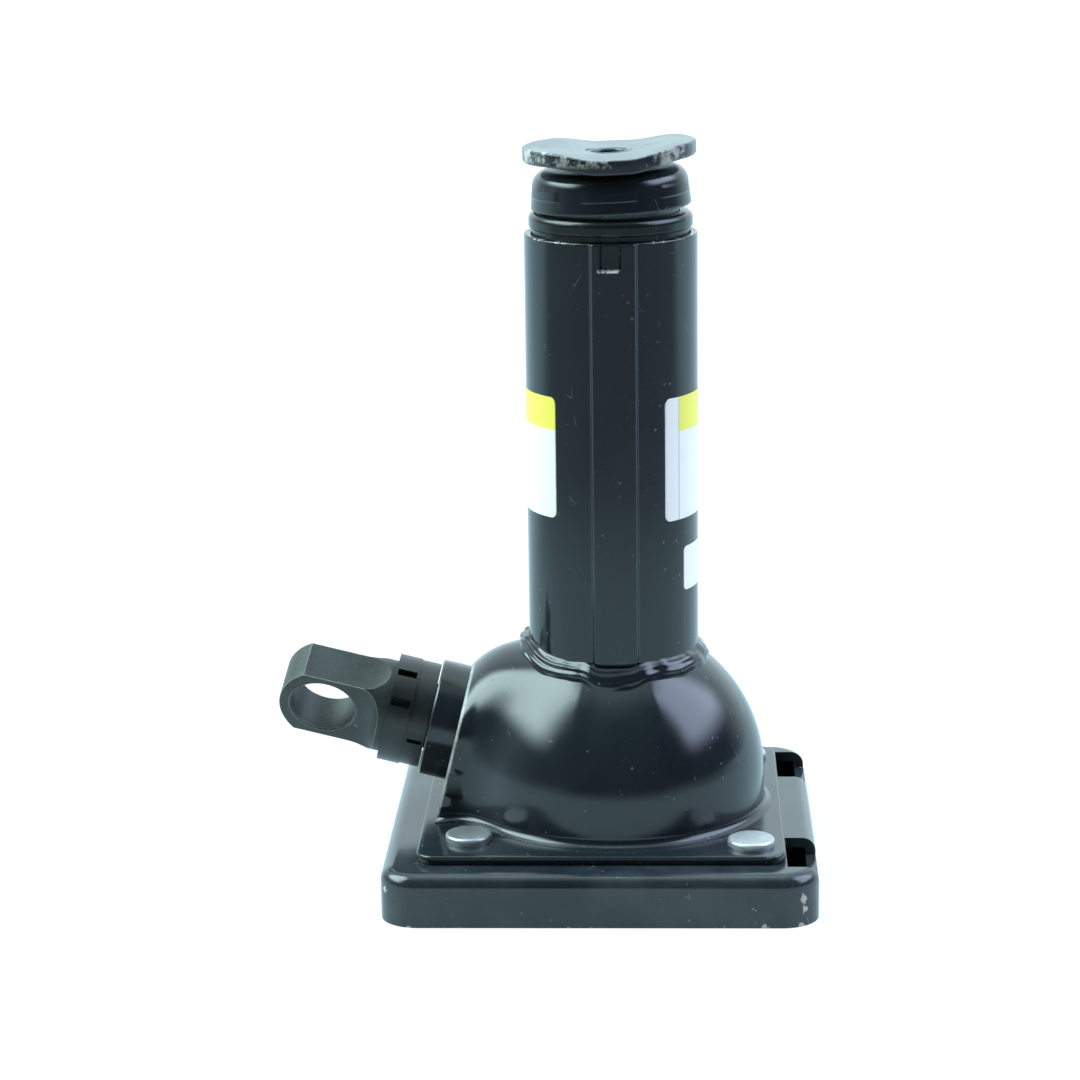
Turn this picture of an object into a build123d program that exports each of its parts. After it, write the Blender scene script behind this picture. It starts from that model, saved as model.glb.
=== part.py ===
from build123d import *
from math import acos, atan2, cos, degrees, pi, radians, sin, sqrt, tan
import os

os.makedirs("parts", exist_ok=True)

# Mechanical bottle jack: a crank eye turns a bevel pinion, the pinion turns a crown gear with
# the drive screw, and two nested screws push a guide tube and a lift tube out of the outer tube.
# Millimetres and degrees. The origin is on the floor, on the axis of the lifting column.
# +Z is up, the drive eye points along -X, and -Y is the front with the key rib.

# Fits and clearances
run_fit = 0.08          # radial clearance of a shaft, a screw or a nut that turns or slides
seat_fit = 0.03         # radial clearance of a piece that sits still in its seat
air = 0.3               # free space between pieces that move past each other
match = 0.01            # how near a size must be for a selector to take an edge

# Base plate: a pressed tray, open below, with a cup for the thrust bearing
base_length = 127.0
base_width = 127.0
base_height = 15.4
base_sheet = 3.0
base_corner = 11.0
base_edge = 4.0
base_shift = -3.8
cup_radius = 17.5
cup_depth = 8.4
cup_edge = 1.5
slot_inset = 9.2
slot_length = 25.4
slot_spacing = 83.4
slot_drop = 5.2

# Gear housing: a pressed shell of one sheet, a dome with a snout and a flange
housing_sheet = 2.6
dome_radius = 45.3
dome_centre = 27.5
foot_radius = 3.0
snout_root = 22.0
snout_root_height = 30.4
snout_mid = 36.0
snout_mid_height = 28.2
snout_shoulder = 43.5
snout_shoulder_height = 25.0
flange_left = 57.2
flange_right = 50.2
flange_width = 106.6
flange_corner = 6.0
rivet_radius = 4.0
rivet_head_radius = 6.9
rivet_head_height = 2.0
rivet_head_edge = 0.9
rivet_left_inset = 14.8
rivet_left_side = 15.9
rivet_right_inset = 9.9
rivet_right_side = 11.5
flange_margin = 1.0
flange_corner_share = 0.8

# Shaft line: it leaves the column axis at shaft_height and climbs to the left
shaft_tilt = 14.0
shaft_height = 30.5
mouth_distance = 48.9
core_reach = 14.0
sleeve_seat = 3.5
snout_drop = 34.0
sleeve_radius = 17.67
sleeve_outer = 57.4
sleeve_edge = 0.5
journal_radius = 10.0

# Drive eye, turned and milled from round bar
bar_radius = 14.0
eye_distance = 89.9
eye_thickness = 13.3
eye_width = 24.6
eye_bore = 9.9
eye_turn = 31.0
nose_reach = 13.3
nose_radius = 15.8
face_cutter = 7.8
face_length = 9.5
side_cutter = 19.0
side_length = 10.0
bore_chamfer = 0.4

# Clip collar of moulded plastic, an inner and an outer ring with a step between them
collar_radius = 16.3
collar_end = 70.5
collar_step = 63.6
collar_step_depth = 0.35
tab_turns = (41.0, 162.0, 266.0)
tab_width = 7.5
tab_length = 5.8
tab_slot = 2.5
tab_start = 0.6
slit_turns = (104.0, 224.0, 344.0)
slit_width = 1.3
slit_length = 4.4
slit_start = 58.4

# Bevel pair, module at the large end
pinion_teeth = 10
gear_teeth = 25
cone_distance = 36.0
face_width = 12.0
pinion_addendum = 2.5
pinion_dedendum = 2.7
gear_addendum = 2.0
gear_dedendum = 3.0
backlash = 0.45
pressure_angle = 20.0
flank_low = 0.1
flank_high = 0.45
tooth_sink = 0.4
tooth_relief = 0.15
pinion_seat = 6.0
pinion_flat = 4.6
pinion_foot = 0.9
pinion_washer_thickness = 1.5
pinion_washer_radius = 14.5
clip_groove = 0.8
clip_thickness = 1.2
clip_land = 1.2
pin_radius = 2.0
pin_sink = 0.24
gear_bottom = 17.0
gear_rim = 1.6
gear_dish = 1.6
gear_dish_width = 6.0
hub_radius = 13.0
hub_top = 33.0
key_pin_height = 29.0

# Thrust bearing in the cup of the base
washer_thickness = 2.0
ball_radius = 2.5
ball_count = 12
ball_circle = 13.2
ball_seat = 0.02
cage_thickness = 2.4
cage_inner = 10.4
cage_outer = 16.2
cage_pocket = 0.1
pilot_radius = 6.9
pilot_wall = 2.1
pilot_height = 5.4
journal_foot = 12.7
screw_journal = 9.0

# Outer tube with its pressed key rib
tube_radius = 25.4
tube_wall = 2.0
tube_foot = 61.6
tube_top = 192.0
rib_width = 13.4
rib_proud = 1.2
rib_rise = 5.1
rib_turn = 2.5
rib_edge = 0.8
notch_width = 5.6
notch_height = 7.5
notch_depth = 1.8
weld_reach = 3.0
weld_rise = 3.6
weld_bulge_reach = 2.16
weld_bulge_rise = 1.62

# Guide tube: the first stage
guide_wall = 1.6
guide_foot = 67.3
foot_plate = 3.7
ring_bottom = 193.6
ring_height = 4.6
ring_bore = 20.3
ring_radius = 24.0
ring_edge = 2.0
ring_lower_edge = 0.8
guide_key_foot = 69.2
guide_key_height = 9.0
bead_width = 6.0
bead_depth = 1.1
bead_wall = 1.0

# Screws
drive_screw_radius = 10.0
drive_screw_top = 180.0
screw_shoulder = 12.5
shoulder_height = 3.0
stop_radius = 11.9
stop_thickness = 3.5
stop_spigot = 6.0
spigot_reach = 1.0
stop_edge = 0.6
lift_screw_radius = 15.2
lift_screw_top = 190.0
lift_screw_bore = 12.3
lift_screw_thread = 20.0
screw_flange = 20.5
flange_height = 4.0
circlip_radius = 18.0
circlip_foot = 71.3
circlip_thickness = 1.5
circlip_depth = 1.0
circlip_gap = 6.0

# Lift tube: the second stage
lift_radius = 20.0
lift_wall = 2.0
lift_top = 207.8
nut_foot = 77.0
nut_flange = 6.0
nut_flange_radius = 21.2
nut_body = 12.0
plug_height = 9.0
plug_bore = 7.3

# Head: dust cap and saddle, both loose enough to lean as they do at rest
head_level = 205.0
head_lean = 2.2
cap_foot = 199.6
cap_top = 211.0
cap_radius = 23.5
cap_taper = 1.2
cap_wall = 2.2
cap_roof = 2.0
cap_edge = 4.8
cap_inner_edge = 2.0
cap_rivet_bore = 7.0
pad_count = 6
pad_angle = 41.0
pad_height = 3.0
pad_foot = 203.6
pad_proud = 0.35
pad_nick = 1.3
pad_nick_depth = 0.9
pad_nick_height = 2.4
pad_nick_turn = 1.0
saddle_radius = 25.3
saddle_thickness = 4.4
saddle_foot = 211.35
saddle_shoulder = 2.1
saddle_shoulder_spot = 14.5
saddle_end = 1.6
saddle_spare = 1.0
saddle_edge = 0.7
rivet_hole = 5.0
rivet_tube = 6.6
rivet_lip = 7.9
rivet_lip_height = 1.2
rivet_tail = 9.2
rivet_tail_height = 1.6

# Values that follow from the sizes above
shaft_dir = Vector(-cos(radians(shaft_tilt)), 0, sin(radians(shaft_tilt)))
shaft_up = Vector(sin(radians(shaft_tilt)), 0, cos(radians(shaft_tilt)))
apex = Vector(0, 0, shaft_height)
front = Vector(0, -1, 0)
arch_radius = sleeve_radius + seat_fit + housing_sheet
arch_inside = arch_radius - housing_sheet
dome_inside = dome_radius - housing_sheet
core_foot = base_height - housing_sheet
snout_roof = ((snout_root, snout_root_height), (snout_mid, snout_mid_height),
              (snout_shoulder, snout_shoulder_height), (mouth_distance, arch_radius))
core_roof = ((snout_root, snout_root_height), (snout_mid, snout_mid_height),
             (mouth_distance - sleeve_seat, arch_radius))
flange_top = base_height + housing_sheet
flange_length = flange_left + flange_right
flange_shift = (flange_right - flange_left) / 2
cup_floor = base_height - cup_depth
rivet_left = (rivet_left_inset - flange_left, flange_width / 2 - rivet_left_side)
rivet_right = (flange_right - rivet_right_inset, flange_width / 2 - rivet_right_side)
rivet_spots = [rivet_left, (rivet_left[0], -rivet_left[1]), rivet_right, (rivet_right[0], -rivet_right[1])]
shaft_angle = 90.0 + shaft_tilt
ratio = gear_teeth / pinion_teeth
pinion_cone = degrees(atan2(sin(radians(shaft_angle)), ratio + cos(radians(shaft_angle))))
gear_cone = shaft_angle - pinion_cone
tooth_pitch = 2 * pi * cone_distance * sin(radians(gear_cone)) / gear_teeth
inner_scale = (cone_distance - face_width) / cone_distance
pinion_depth = cone_distance * cos(radians(pinion_cone)) + pinion_dedendum * sin(radians(pinion_cone))
pinion_back = pinion_depth + pinion_foot
sleeve_inner = pinion_back + pinion_washer_thickness + 2 * ball_seat
pinion_front = inner_scale * (cone_distance * cos(radians(pinion_cone))
                              - pinion_addendum * sin(radians(pinion_cone)))
clip_spot = pinion_front - seat_fit
seat_end = clip_spot - clip_thickness - clip_land
tube_bore = tube_radius - tube_wall
rib_radius = tube_radius + rib_proud
rib_foot = tube_foot + rib_rise
groove_radius = rib_radius - tube_wall
groove_width = rib_width - 2 * tube_wall
guide_radius = tube_bore - air
guide_bore = guide_radius - guide_wall
lift_bore = lift_radius - lift_wall
bead_radius = guide_bore - bead_depth


def shaft_plane(distance, turn=0.0):
    """Plane square to the shaft line, with its X up and across, turned about the shaft."""
    across = shaft_up * cos(radians(turn)) + front * sin(radians(turn))
    return Plane(origin=apex + shaft_dir * distance, x_dir=across, z_dir=shaft_dir)


def rib_plane(height):
    """Level plane whose -Y points at the key rib of the outer tube."""
    turn = radians(rib_turn)
    return Plane(origin=(0, 0, height), x_dir=(cos(turn), sin(turn), 0), z_dir=(0, 0, 1))


def head_plane(height):
    """Plane square to the leaning axis of the head, its right side raised."""
    lean = radians(head_lean)
    axis = Vector(-sin(lean), 0, cos(lean))
    start = Vector(0, 0, head_level) + axis * (height - head_level)
    return Plane(origin=start, x_dir=(cos(lean), 0, sin(lean)), z_dir=axis)


def cone_points(cone, addendum, dedendum):
    """Root line and back of a bevel blank as (depth, radius) from the apex."""
    c = cos(radians(cone))
    s = sin(radians(cone))
    root = (cone_distance * c + dedendum * s, cone_distance * s - dedendum * c)
    inner = (root[0] * inner_scale, root[1] * inner_scale)
    return root, inner


def tooth_sections(axis, side, cone, angle):
    """Planes at the large and small end of one bevel tooth, square to its pitch line."""
    out = side * cos(radians(angle)) + axis.cross(side) * sin(radians(angle))
    line = axis * cos(radians(cone)) + out * sin(radians(cone))
    tangent = axis.cross(out)
    big = Plane(origin=apex + line * cone_distance, x_dir=tangent, z_dir=line)
    small = Plane(origin=apex + line * cone_distance * inner_scale, x_dir=tangent, z_dir=line)
    return big, small


# Base plate
with BuildPart() as base_plate:
    with BuildSketch(Plane.XY):
        with Locations((base_shift, 0)):
            RectangleRounded(base_length, base_width, base_corner)
    extrude(amount=base_height)
    fillet(base_plate.faces().sort_by(Axis.Z)[-1].edges(), base_edge)
    offset(amount=-base_sheet, openings=base_plate.faces().sort_by(Axis.Z)[0])
    with BuildSketch(Plane.XY.offset(cup_floor - base_sheet)):
        Circle(cup_radius + base_sheet)
    extrude(amount=cup_depth)
    with BuildSketch(Plane.XY.offset(cup_floor)):
        Circle(cup_radius)
    extrude(amount=cup_depth, mode=Mode.SUBTRACT)
    cup_rim = base_plate.edges().filter_by(GeomType.CIRCLE)
    cup_rim = cup_rim.filter_by(
        lambda e: abs(e.radius - cup_radius) < match and e.center().Z > base_height - match)
    fillet(cup_rim, cup_edge)
    with BuildSketch(Plane.XY.offset(base_height)):
        with Locations((base_shift + base_length / 2 - slot_inset, 0)):
            with GridLocations(0, slot_spacing, 1, 2):
                Rectangle(2 * slot_inset, slot_length, align=(Align.MIN, Align.CENTER))
    extrude(amount=-slot_drop, mode=Mode.SUBTRACT)
    with BuildSketch(Plane.XY.offset(base_height)):
        with Locations(*rivet_spots):
            Circle(rivet_radius + seat_fit)
    extrude(amount=-2 * base_sheet, mode=Mode.SUBTRACT)
base_plate.part.label = "base_plate"

# Inside space of the gear housing, down to one sheet below the flange
with BuildPart() as housing_core:
    with BuildSketch(Plane.XZ):
        with BuildLine():
            Line((0, core_foot), (dome_inside, core_foot))
            Line((dome_inside, core_foot), (dome_inside, dome_centre))
            CenterArc((0, dome_centre), dome_inside, 0, 90)
            Line((0, dome_centre + dome_inside), (0, core_foot))
        make_face()
    revolve(axis=Axis.Z)
    for distance, height in core_roof:
        with BuildSketch(shaft_plane(distance)):
            with BuildLine():
                EllipticalCenterArc((0, 0), height - housing_sheet, arch_inside, -90, arc_size=180)
                Polyline((0, arch_inside), (-snout_drop, arch_inside),
                         (-snout_drop, -arch_inside), (0, -arch_inside))
            make_face()
    loft()
    with BuildSketch(shaft_plane(mouth_distance - sleeve_seat)):
        with BuildLine():
            CenterArc((0, 0), arch_inside, -90, 180)
            Polyline((0, arch_inside), (-snout_drop, arch_inside),
                     (-snout_drop, -arch_inside), (0, -arch_inside))
        make_face()
    extrude(amount=core_reach)
    with BuildSketch(Plane.XY.offset(core_foot)):
        Rectangle(4 * dome_radius, 4 * dome_radius)
    extrude(amount=-2 * dome_radius, mode=Mode.SUBTRACT)

# Gear housing
with BuildPart() as gear_housing:
    with BuildSketch(Plane.XZ):
        with BuildLine():
            Line((0, base_height), (dome_radius, base_height))
            Line((dome_radius, base_height), (dome_radius, dome_centre))
            CenterArc((0, dome_centre), dome_radius, 0, 90)
            Line((0, dome_centre + dome_radius), (0, base_height))
        make_face()
    revolve(axis=Axis.Z)
    for distance, height in snout_roof:
        with BuildSketch(shaft_plane(distance)):
            with BuildLine():
                EllipticalCenterArc((0, 0), height, arch_radius, -90, arc_size=180)
                Polyline((0, arch_radius), (-snout_drop, arch_radius),
                         (-snout_drop, -arch_radius), (0, -arch_radius))
            make_face()
    loft()
    with BuildSketch(Plane.XY.offset(base_height)):
        Rectangle(4 * dome_radius, 4 * dome_radius)
    extrude(amount=-2 * dome_radius, mode=Mode.SUBTRACT)
    with BuildSketch(Plane.XY.offset(base_height)):
        with Locations((flange_shift, 0)):
            RectangleRounded(flange_length, flange_width, flange_corner)
    extrude(amount=housing_sheet)
    foot_edges = gear_housing.edges().filter_by_position(Axis.Z, flange_top - match, flange_top + match)
    foot_edges = foot_edges.filter_by(lambda e: (
        abs(e.center().Y) < flange_width / 2 - flange_margin
        and abs(e.center().X - flange_shift) < flange_length / 2 - flange_margin
        and abs(e.center().Y) + abs(e.center().X - flange_shift) < flange_width * flange_corner_share))
    fillet(foot_edges, foot_radius)
    with BuildSketch(shaft_plane(mouth_distance)):
        Rectangle(2 * dome_radius, 2 * arch_radius)
    extrude(amount=core_reach, mode=Mode.SUBTRACT)
    add(housing_core.part, mode=Mode.SUBTRACT)
    with BuildSketch(Plane.XY.offset(dome_centre)):
        Circle(tube_radius + seat_fit)
    extrude(amount=2 * dome_radius, mode=Mode.SUBTRACT)
    with BuildSketch(Plane.XY.offset(flange_top)):
        with Locations(*rivet_spots):
            Circle(rivet_radius + seat_fit)
    extrude(amount=-2 * housing_sheet, mode=Mode.SUBTRACT)
gear_housing.part.label = "gear_housing"

# Base rivets, four in one node
with BuildPart() as base_rivets:
    with BuildSketch(Plane.XY.offset(flange_top)):
        with Locations(*rivet_spots):
            Circle(rivet_head_radius)
    extrude(amount=rivet_head_height)
    fillet(base_rivets.edges().group_by(Axis.Z)[-1], rivet_head_edge)
    with BuildSketch(Plane.XY.offset(base_height - base_sheet)):
        with Locations(*rivet_spots):
            Circle(rivet_radius)
    extrude(amount=base_sheet + housing_sheet)
    with BuildSketch(Plane.XY.offset(base_height - base_sheet)):
        with Locations(*rivet_spots):
            Circle(rivet_head_radius)
    extrude(amount=-rivet_head_height)
base_rivets.part.label = "base_rivets"

# Outer tube with the key rib pressed outwards and the lanced stop at its mouth
with BuildPart() as outer_tube:
    with BuildSketch(rib_plane(tube_foot)):
        Circle(tube_radius)
    extrude(amount=tube_top - tube_foot)
    with BuildSketch(rib_plane(rib_foot)) as rib_sketch:
        Circle(rib_radius)
        Rectangle(rib_width, 2 * rib_radius, align=(Align.CENTER, Align.MAX), mode=Mode.INTERSECT)
    extrude(amount=tube_top - rib_foot)
    rib_corners = outer_tube.edges().filter_by(Axis.Z).filter_by(
        lambda e: Vector(e.center().X, e.center().Y, 0).length > rib_radius - 5 * match)
    fillet(rib_corners, rib_edge)
    with BuildSketch(rib_plane(tube_foot)):
        Circle(tube_bore)
    extrude(amount=tube_top - tube_foot, mode=Mode.SUBTRACT)
    with BuildSketch(rib_plane(rib_foot + tube_wall)):
        Circle(groove_radius)
        Rectangle(groove_width, 2 * rib_radius, align=(Align.CENTER, Align.MAX), mode=Mode.INTERSECT)
    extrude(amount=tube_top - notch_height - rib_foot - tube_wall, mode=Mode.SUBTRACT)
    with BuildSketch(rib_plane(tube_top - notch_height)):
        Circle(2 * rib_radius)
        Circle(rib_radius - notch_depth, mode=Mode.SUBTRACT)
        Rectangle(notch_width, 2 * rib_radius, align=(Align.CENTER, Align.MAX), mode=Mode.INTERSECT)
    extrude(amount=notch_height, mode=Mode.SUBTRACT)
outer_tube.part.label = "outer_tube"

# Weld bead round the foot of the outer tube, lying on the dome
with BuildPart() as tube_weld:
    with BuildSketch(Plane.XZ):
        with BuildLine():
            bead_in = tube_radius + seat_fit
            bead_out = bead_in + weld_reach
            dome_in = dome_centre + sqrt(dome_radius ** 2 - bead_in ** 2)
            dome_out = dome_centre + sqrt(dome_radius ** 2 - bead_out ** 2)
            weld_up = dome_in + weld_rise
            RadiusArc((bead_in, dome_in), (bead_out, dome_out), dome_radius)
            ThreePointArc((bead_out, dome_out), (bead_in + weld_bulge_reach, dome_in + weld_bulge_rise),
                          (bead_in, weld_up))
            Line((bead_in, weld_up), (bead_in, dome_in))
        make_face()
    revolve(axis=Axis.Z)
    with BuildSketch(rib_plane(rib_foot)):
        Rectangle(rib_width + 2 * seat_fit, rib_radius + seat_fit, align=(Align.CENTER, Align.MAX))
    extrude(amount=weld_rise, mode=Mode.SUBTRACT)
    add(gear_housing.part, mode=Mode.SUBTRACT)
    add(housing_core.part, mode=Mode.SUBTRACT)
tube_weld.part.label = "tube_weld"

# Bearing sleeve in the snout
with BuildPart() as bearing_sleeve:
    with BuildSketch(shaft_plane(sleeve_inner)):
        Circle(sleeve_radius)
        Circle(journal_radius + run_fit, mode=Mode.SUBTRACT)
    extrude(amount=sleeve_outer - sleeve_inner)
    chamfer(bearing_sleeve.faces().sort_by(Axis(apex, shaft_dir))[-1].edges(), sleeve_edge)
bearing_sleeve.part.label = "bearing_sleeve"

# Drive eye: bar, flats with their cutter run-out, nose, bore, journal and pinion seat
eye_axis = front * cos(radians(eye_turn)) - shaft_up * sin(radians(eye_turn))
eye_centre = apex + shaft_dir * eye_distance
eye_plan = Plane(origin=eye_centre, x_dir=shaft_dir, z_dir=eye_axis)
eye_side = Plane(origin=eye_centre, x_dir=shaft_dir, z_dir=shaft_dir.cross(eye_axis))
shank_start = sleeve_outer + air
with BuildPart() as drive_eye:
    with BuildSketch(shaft_plane(shank_start)):
        Circle(bar_radius)
    extrude(amount=eye_distance + nose_reach - shank_start)
    with BuildSketch(eye_side):
        for side in (1, -1):
            with Locations((-face_length, side * (eye_thickness / 2 + face_cutter))):
                Circle(face_cutter)
            with Locations((-face_length, side * (eye_thickness / 2 + bar_radius))):
                Rectangle(4 * bar_radius, 2 * bar_radius, align=(Align.MIN, Align.CENTER))
    extrude(amount=2 * bar_radius, both=True, mode=Mode.SUBTRACT)
    with BuildSketch(eye_plan):
        for side in (1, -1):
            with Locations((-side_length, side * (eye_width / 2 + side_cutter))):
                Circle(side_cutter)
            with Locations((-side_length, side * (eye_width / 2 + bar_radius))):
                Rectangle(4 * bar_radius, 2 * bar_radius, align=(Align.MIN, Align.CENTER))
    extrude(amount=2 * bar_radius, both=True, mode=Mode.SUBTRACT)
    with BuildSketch(eye_plan):
        with Locations((nose_reach - nose_radius, 0)):
            Circle(nose_radius)
        Rectangle(2 * eye_distance, 4 * bar_radius, align=(Align.MAX, Align.CENTER))
    extrude(amount=2 * bar_radius, both=True, mode=Mode.INTERSECT)
    with BuildSketch(eye_plan):
        Circle(eye_bore)
    extrude(amount=bar_radius, both=True, mode=Mode.SUBTRACT)
    bore_rims = drive_eye.edges().filter_by(GeomType.CIRCLE)
    bore_rims = bore_rims.filter_by(lambda e: abs(e.radius - eye_bore) < match)
    chamfer(bore_rims, bore_chamfer)
    with BuildSketch(shaft_plane(pinion_back)):
        Circle(journal_radius)
    extrude(amount=shank_start - pinion_back)
    with BuildSketch(shaft_plane(seat_end)):
        Circle(pinion_seat)
        with Locations((pinion_flat, 0)):
            Rectangle(4 * pinion_seat, 4 * pinion_seat, align=(Align.MAX, Align.CENTER), mode=Mode.INTERSECT)
    extrude(amount=pinion_back - seat_end)
    with BuildSketch(shaft_plane(clip_spot)):
        Circle(2 * pinion_seat)
        Circle(pinion_seat - clip_groove, mode=Mode.SUBTRACT)
    extrude(amount=-clip_thickness - 2 * seat_fit, mode=Mode.SUBTRACT)
drive_eye.part.label = "drive_eye"


# Bevel pinion: blank, then one straight tapering tooth repeated round the shaft line
pinion_root, pinion_root_inner = cone_points(pinion_cone, pinion_addendum, pinion_dedendum)
virtual_radius = cone_distance * tan(radians(pinion_cone))
base_circle = virtual_radius * cos(radians(pressure_angle))
flank_radii = [base_circle, virtual_radius - pinion_addendum * flank_low,
               virtual_radius + pinion_addendum * flank_high, virtual_radius + pinion_addendum]


def involute(angle):
    """Involute function of an angle in radians."""
    return tan(angle) - angle


def flank_point(radius):
    """Half width and height below the pitch line of the pinion tooth at one radius."""
    mesh = radians(pressure_angle)
    load = acos(min(1.0, base_circle / radius))
    turn = (tooth_pitch - backlash) / (4 * virtual_radius) + involute(mesh) - involute(load)
    return radius * sin(turn), virtual_radius - radius * cos(turn)


pinion_flank = [(flank_point(base_circle)[0] - tooth_relief, pinion_dedendum + tooth_sink)]
pinion_flank += [flank_point(radius) for radius in flank_radii]
with BuildPart() as bevel_pinion:
    with BuildSketch(Plane(origin=apex, x_dir=shaft_dir, z_dir=Vector(0, 1, 0))):
        with BuildLine():
            inner_radius = pinion_root[1] / pinion_root[0] * pinion_front
            Polyline((pinion_front, 0), (pinion_front, inner_radius), pinion_root,
                     (pinion_back, pinion_root[1] - pinion_foot), (pinion_back, 0), close=True)
        make_face()
    revolve(axis=Axis(apex, shaft_dir))
    for i in range(pinion_teeth):
        big, small = tooth_sections(shaft_dir, -shaft_up, pinion_cone, 360.0 / pinion_teeth * i)
        with BuildSketch(big):
            with BuildLine():
                Polyline([(x, y) for x, y in pinion_flank] + [(-x, y) for x, y in reversed(pinion_flank)],
                         close=True)
            make_face()
        with BuildSketch(small):
            with BuildLine():
                Polyline([(x * inner_scale, y * inner_scale) for x, y in pinion_flank]
                         + [(-x * inner_scale, y * inner_scale) for x, y in reversed(pinion_flank)], close=True)
            make_face()
        loft(ruled=True)
    with BuildSketch(shaft_plane(seat_end)):
        Circle(pinion_seat + seat_fit)
        with Locations((pinion_flat + seat_fit, 0)):
            Rectangle(4 * pinion_seat, 4 * pinion_seat, align=(Align.MAX, Align.CENTER), mode=Mode.INTERSECT)
    extrude(amount=2 * face_width, mode=Mode.SUBTRACT)
bevel_pinion.part.label = "bevel_pinion"

# Ring that holds the pinion on its seat
with BuildPart() as pinion_clip:
    with BuildSketch(shaft_plane(clip_spot - seat_fit)):
        Circle(pinion_seat + clip_land)
        Circle(pinion_seat - clip_groove + seat_fit, mode=Mode.SUBTRACT)
        Rectangle(2 * clip_land, 2 * pinion_seat, align=(Align.CENTER, Align.MIN), mode=Mode.SUBTRACT)
    extrude(amount=-clip_thickness)
pinion_clip.part.label = "pinion_clip"

# Thrust washer between the pinion and the bearing sleeve
with BuildPart() as pinion_washer:
    with BuildSketch(shaft_plane(pinion_back + ball_seat)):
        Circle(pinion_washer_radius)
        Circle(journal_radius + air, mode=Mode.SUBTRACT)
    extrude(amount=pinion_washer_thickness)
pinion_washer.part.label = "pinion_washer"

# Clip collar round the shank
with BuildPart() as clip_collar:
    with BuildSketch(shaft_plane(shank_start)):
        Circle(collar_radius)
        Circle(bar_radius + seat_fit, mode=Mode.SUBTRACT)
    extrude(amount=collar_end - shank_start)
    with BuildSketch(shaft_plane(shank_start)):
        Circle(collar_radius + collar_step_depth)
        Circle(collar_radius - collar_step_depth, mode=Mode.SUBTRACT)
    extrude(amount=collar_step - shank_start, mode=Mode.SUBTRACT)
    for turn in tab_turns:
        for side in (1, -1):
            spread = side * degrees((tab_width + tab_slot) / 2 / collar_radius)
            slot_plane = shaft_plane(collar_step + tab_length / 2 + tab_start, 90.0 - turn + spread)
            with BuildSketch(Plane(origin=slot_plane.origin, x_dir=shaft_dir, z_dir=slot_plane.x_dir)):
                Rectangle(tab_length, tab_slot)
            extrude(amount=2 * collar_radius, mode=Mode.SUBTRACT)
    for turn in slit_turns:
        slit_plane = shaft_plane(slit_start + slit_length / 2, 90.0 - turn)
        with BuildSketch(Plane(origin=slit_plane.origin, x_dir=shaft_dir, z_dir=slit_plane.x_dir)):
            Rectangle(slit_length, slit_width)
        extrude(amount=2 * collar_radius, mode=Mode.SUBTRACT)
clip_collar.part.label = "clip_collar"

# Thrust bearing
ball_height = cup_floor + washer_thickness + ball_radius + ball_seat
upper_race = ball_height + ball_radius + ball_seat
hub_foot = upper_race + washer_thickness
with BuildPart() as lower_washer:
    with BuildSketch(Plane.XY.offset(cup_floor)):
        Circle(cup_radius - seat_fit)
        Circle(pilot_radius + run_fit + pilot_wall + seat_fit, mode=Mode.SUBTRACT)
    extrude(amount=washer_thickness)
lower_washer.part.label = "lower_washer"

with BuildPart() as pilot_bush:
    with BuildSketch(Plane.XY.offset(cup_floor)):
        Circle(pilot_radius + run_fit + pilot_wall)
        Circle(pilot_radius + run_fit, mode=Mode.SUBTRACT)
    extrude(amount=pilot_height)
pilot_bush.part.label = "pilot_bush"

with BuildPart() as thrust_balls:
    with PolarLocations(ball_circle, ball_count):
        with Locations((0, 0, ball_height)):
            Sphere(ball_radius)
thrust_balls.part.label = "thrust_balls"

with BuildPart() as ball_cage:
    with BuildSketch(Plane.XY.offset(ball_height - cage_thickness / 2)):
        Circle(cage_outer)
        Circle(cage_inner, mode=Mode.SUBTRACT)
        with PolarLocations(ball_circle, ball_count):
            Circle(ball_radius + cage_pocket, mode=Mode.SUBTRACT)
    extrude(amount=cage_thickness)
ball_cage.part.label = "ball_cage"

with BuildPart() as upper_washer:
    with BuildSketch(Plane.XY.offset(upper_race)):
        Circle(cup_radius - 2 * air)
        Circle(screw_journal + seat_fit, mode=Mode.SUBTRACT)
    extrude(amount=washer_thickness)
upper_washer.part.label = "upper_washer"

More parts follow.
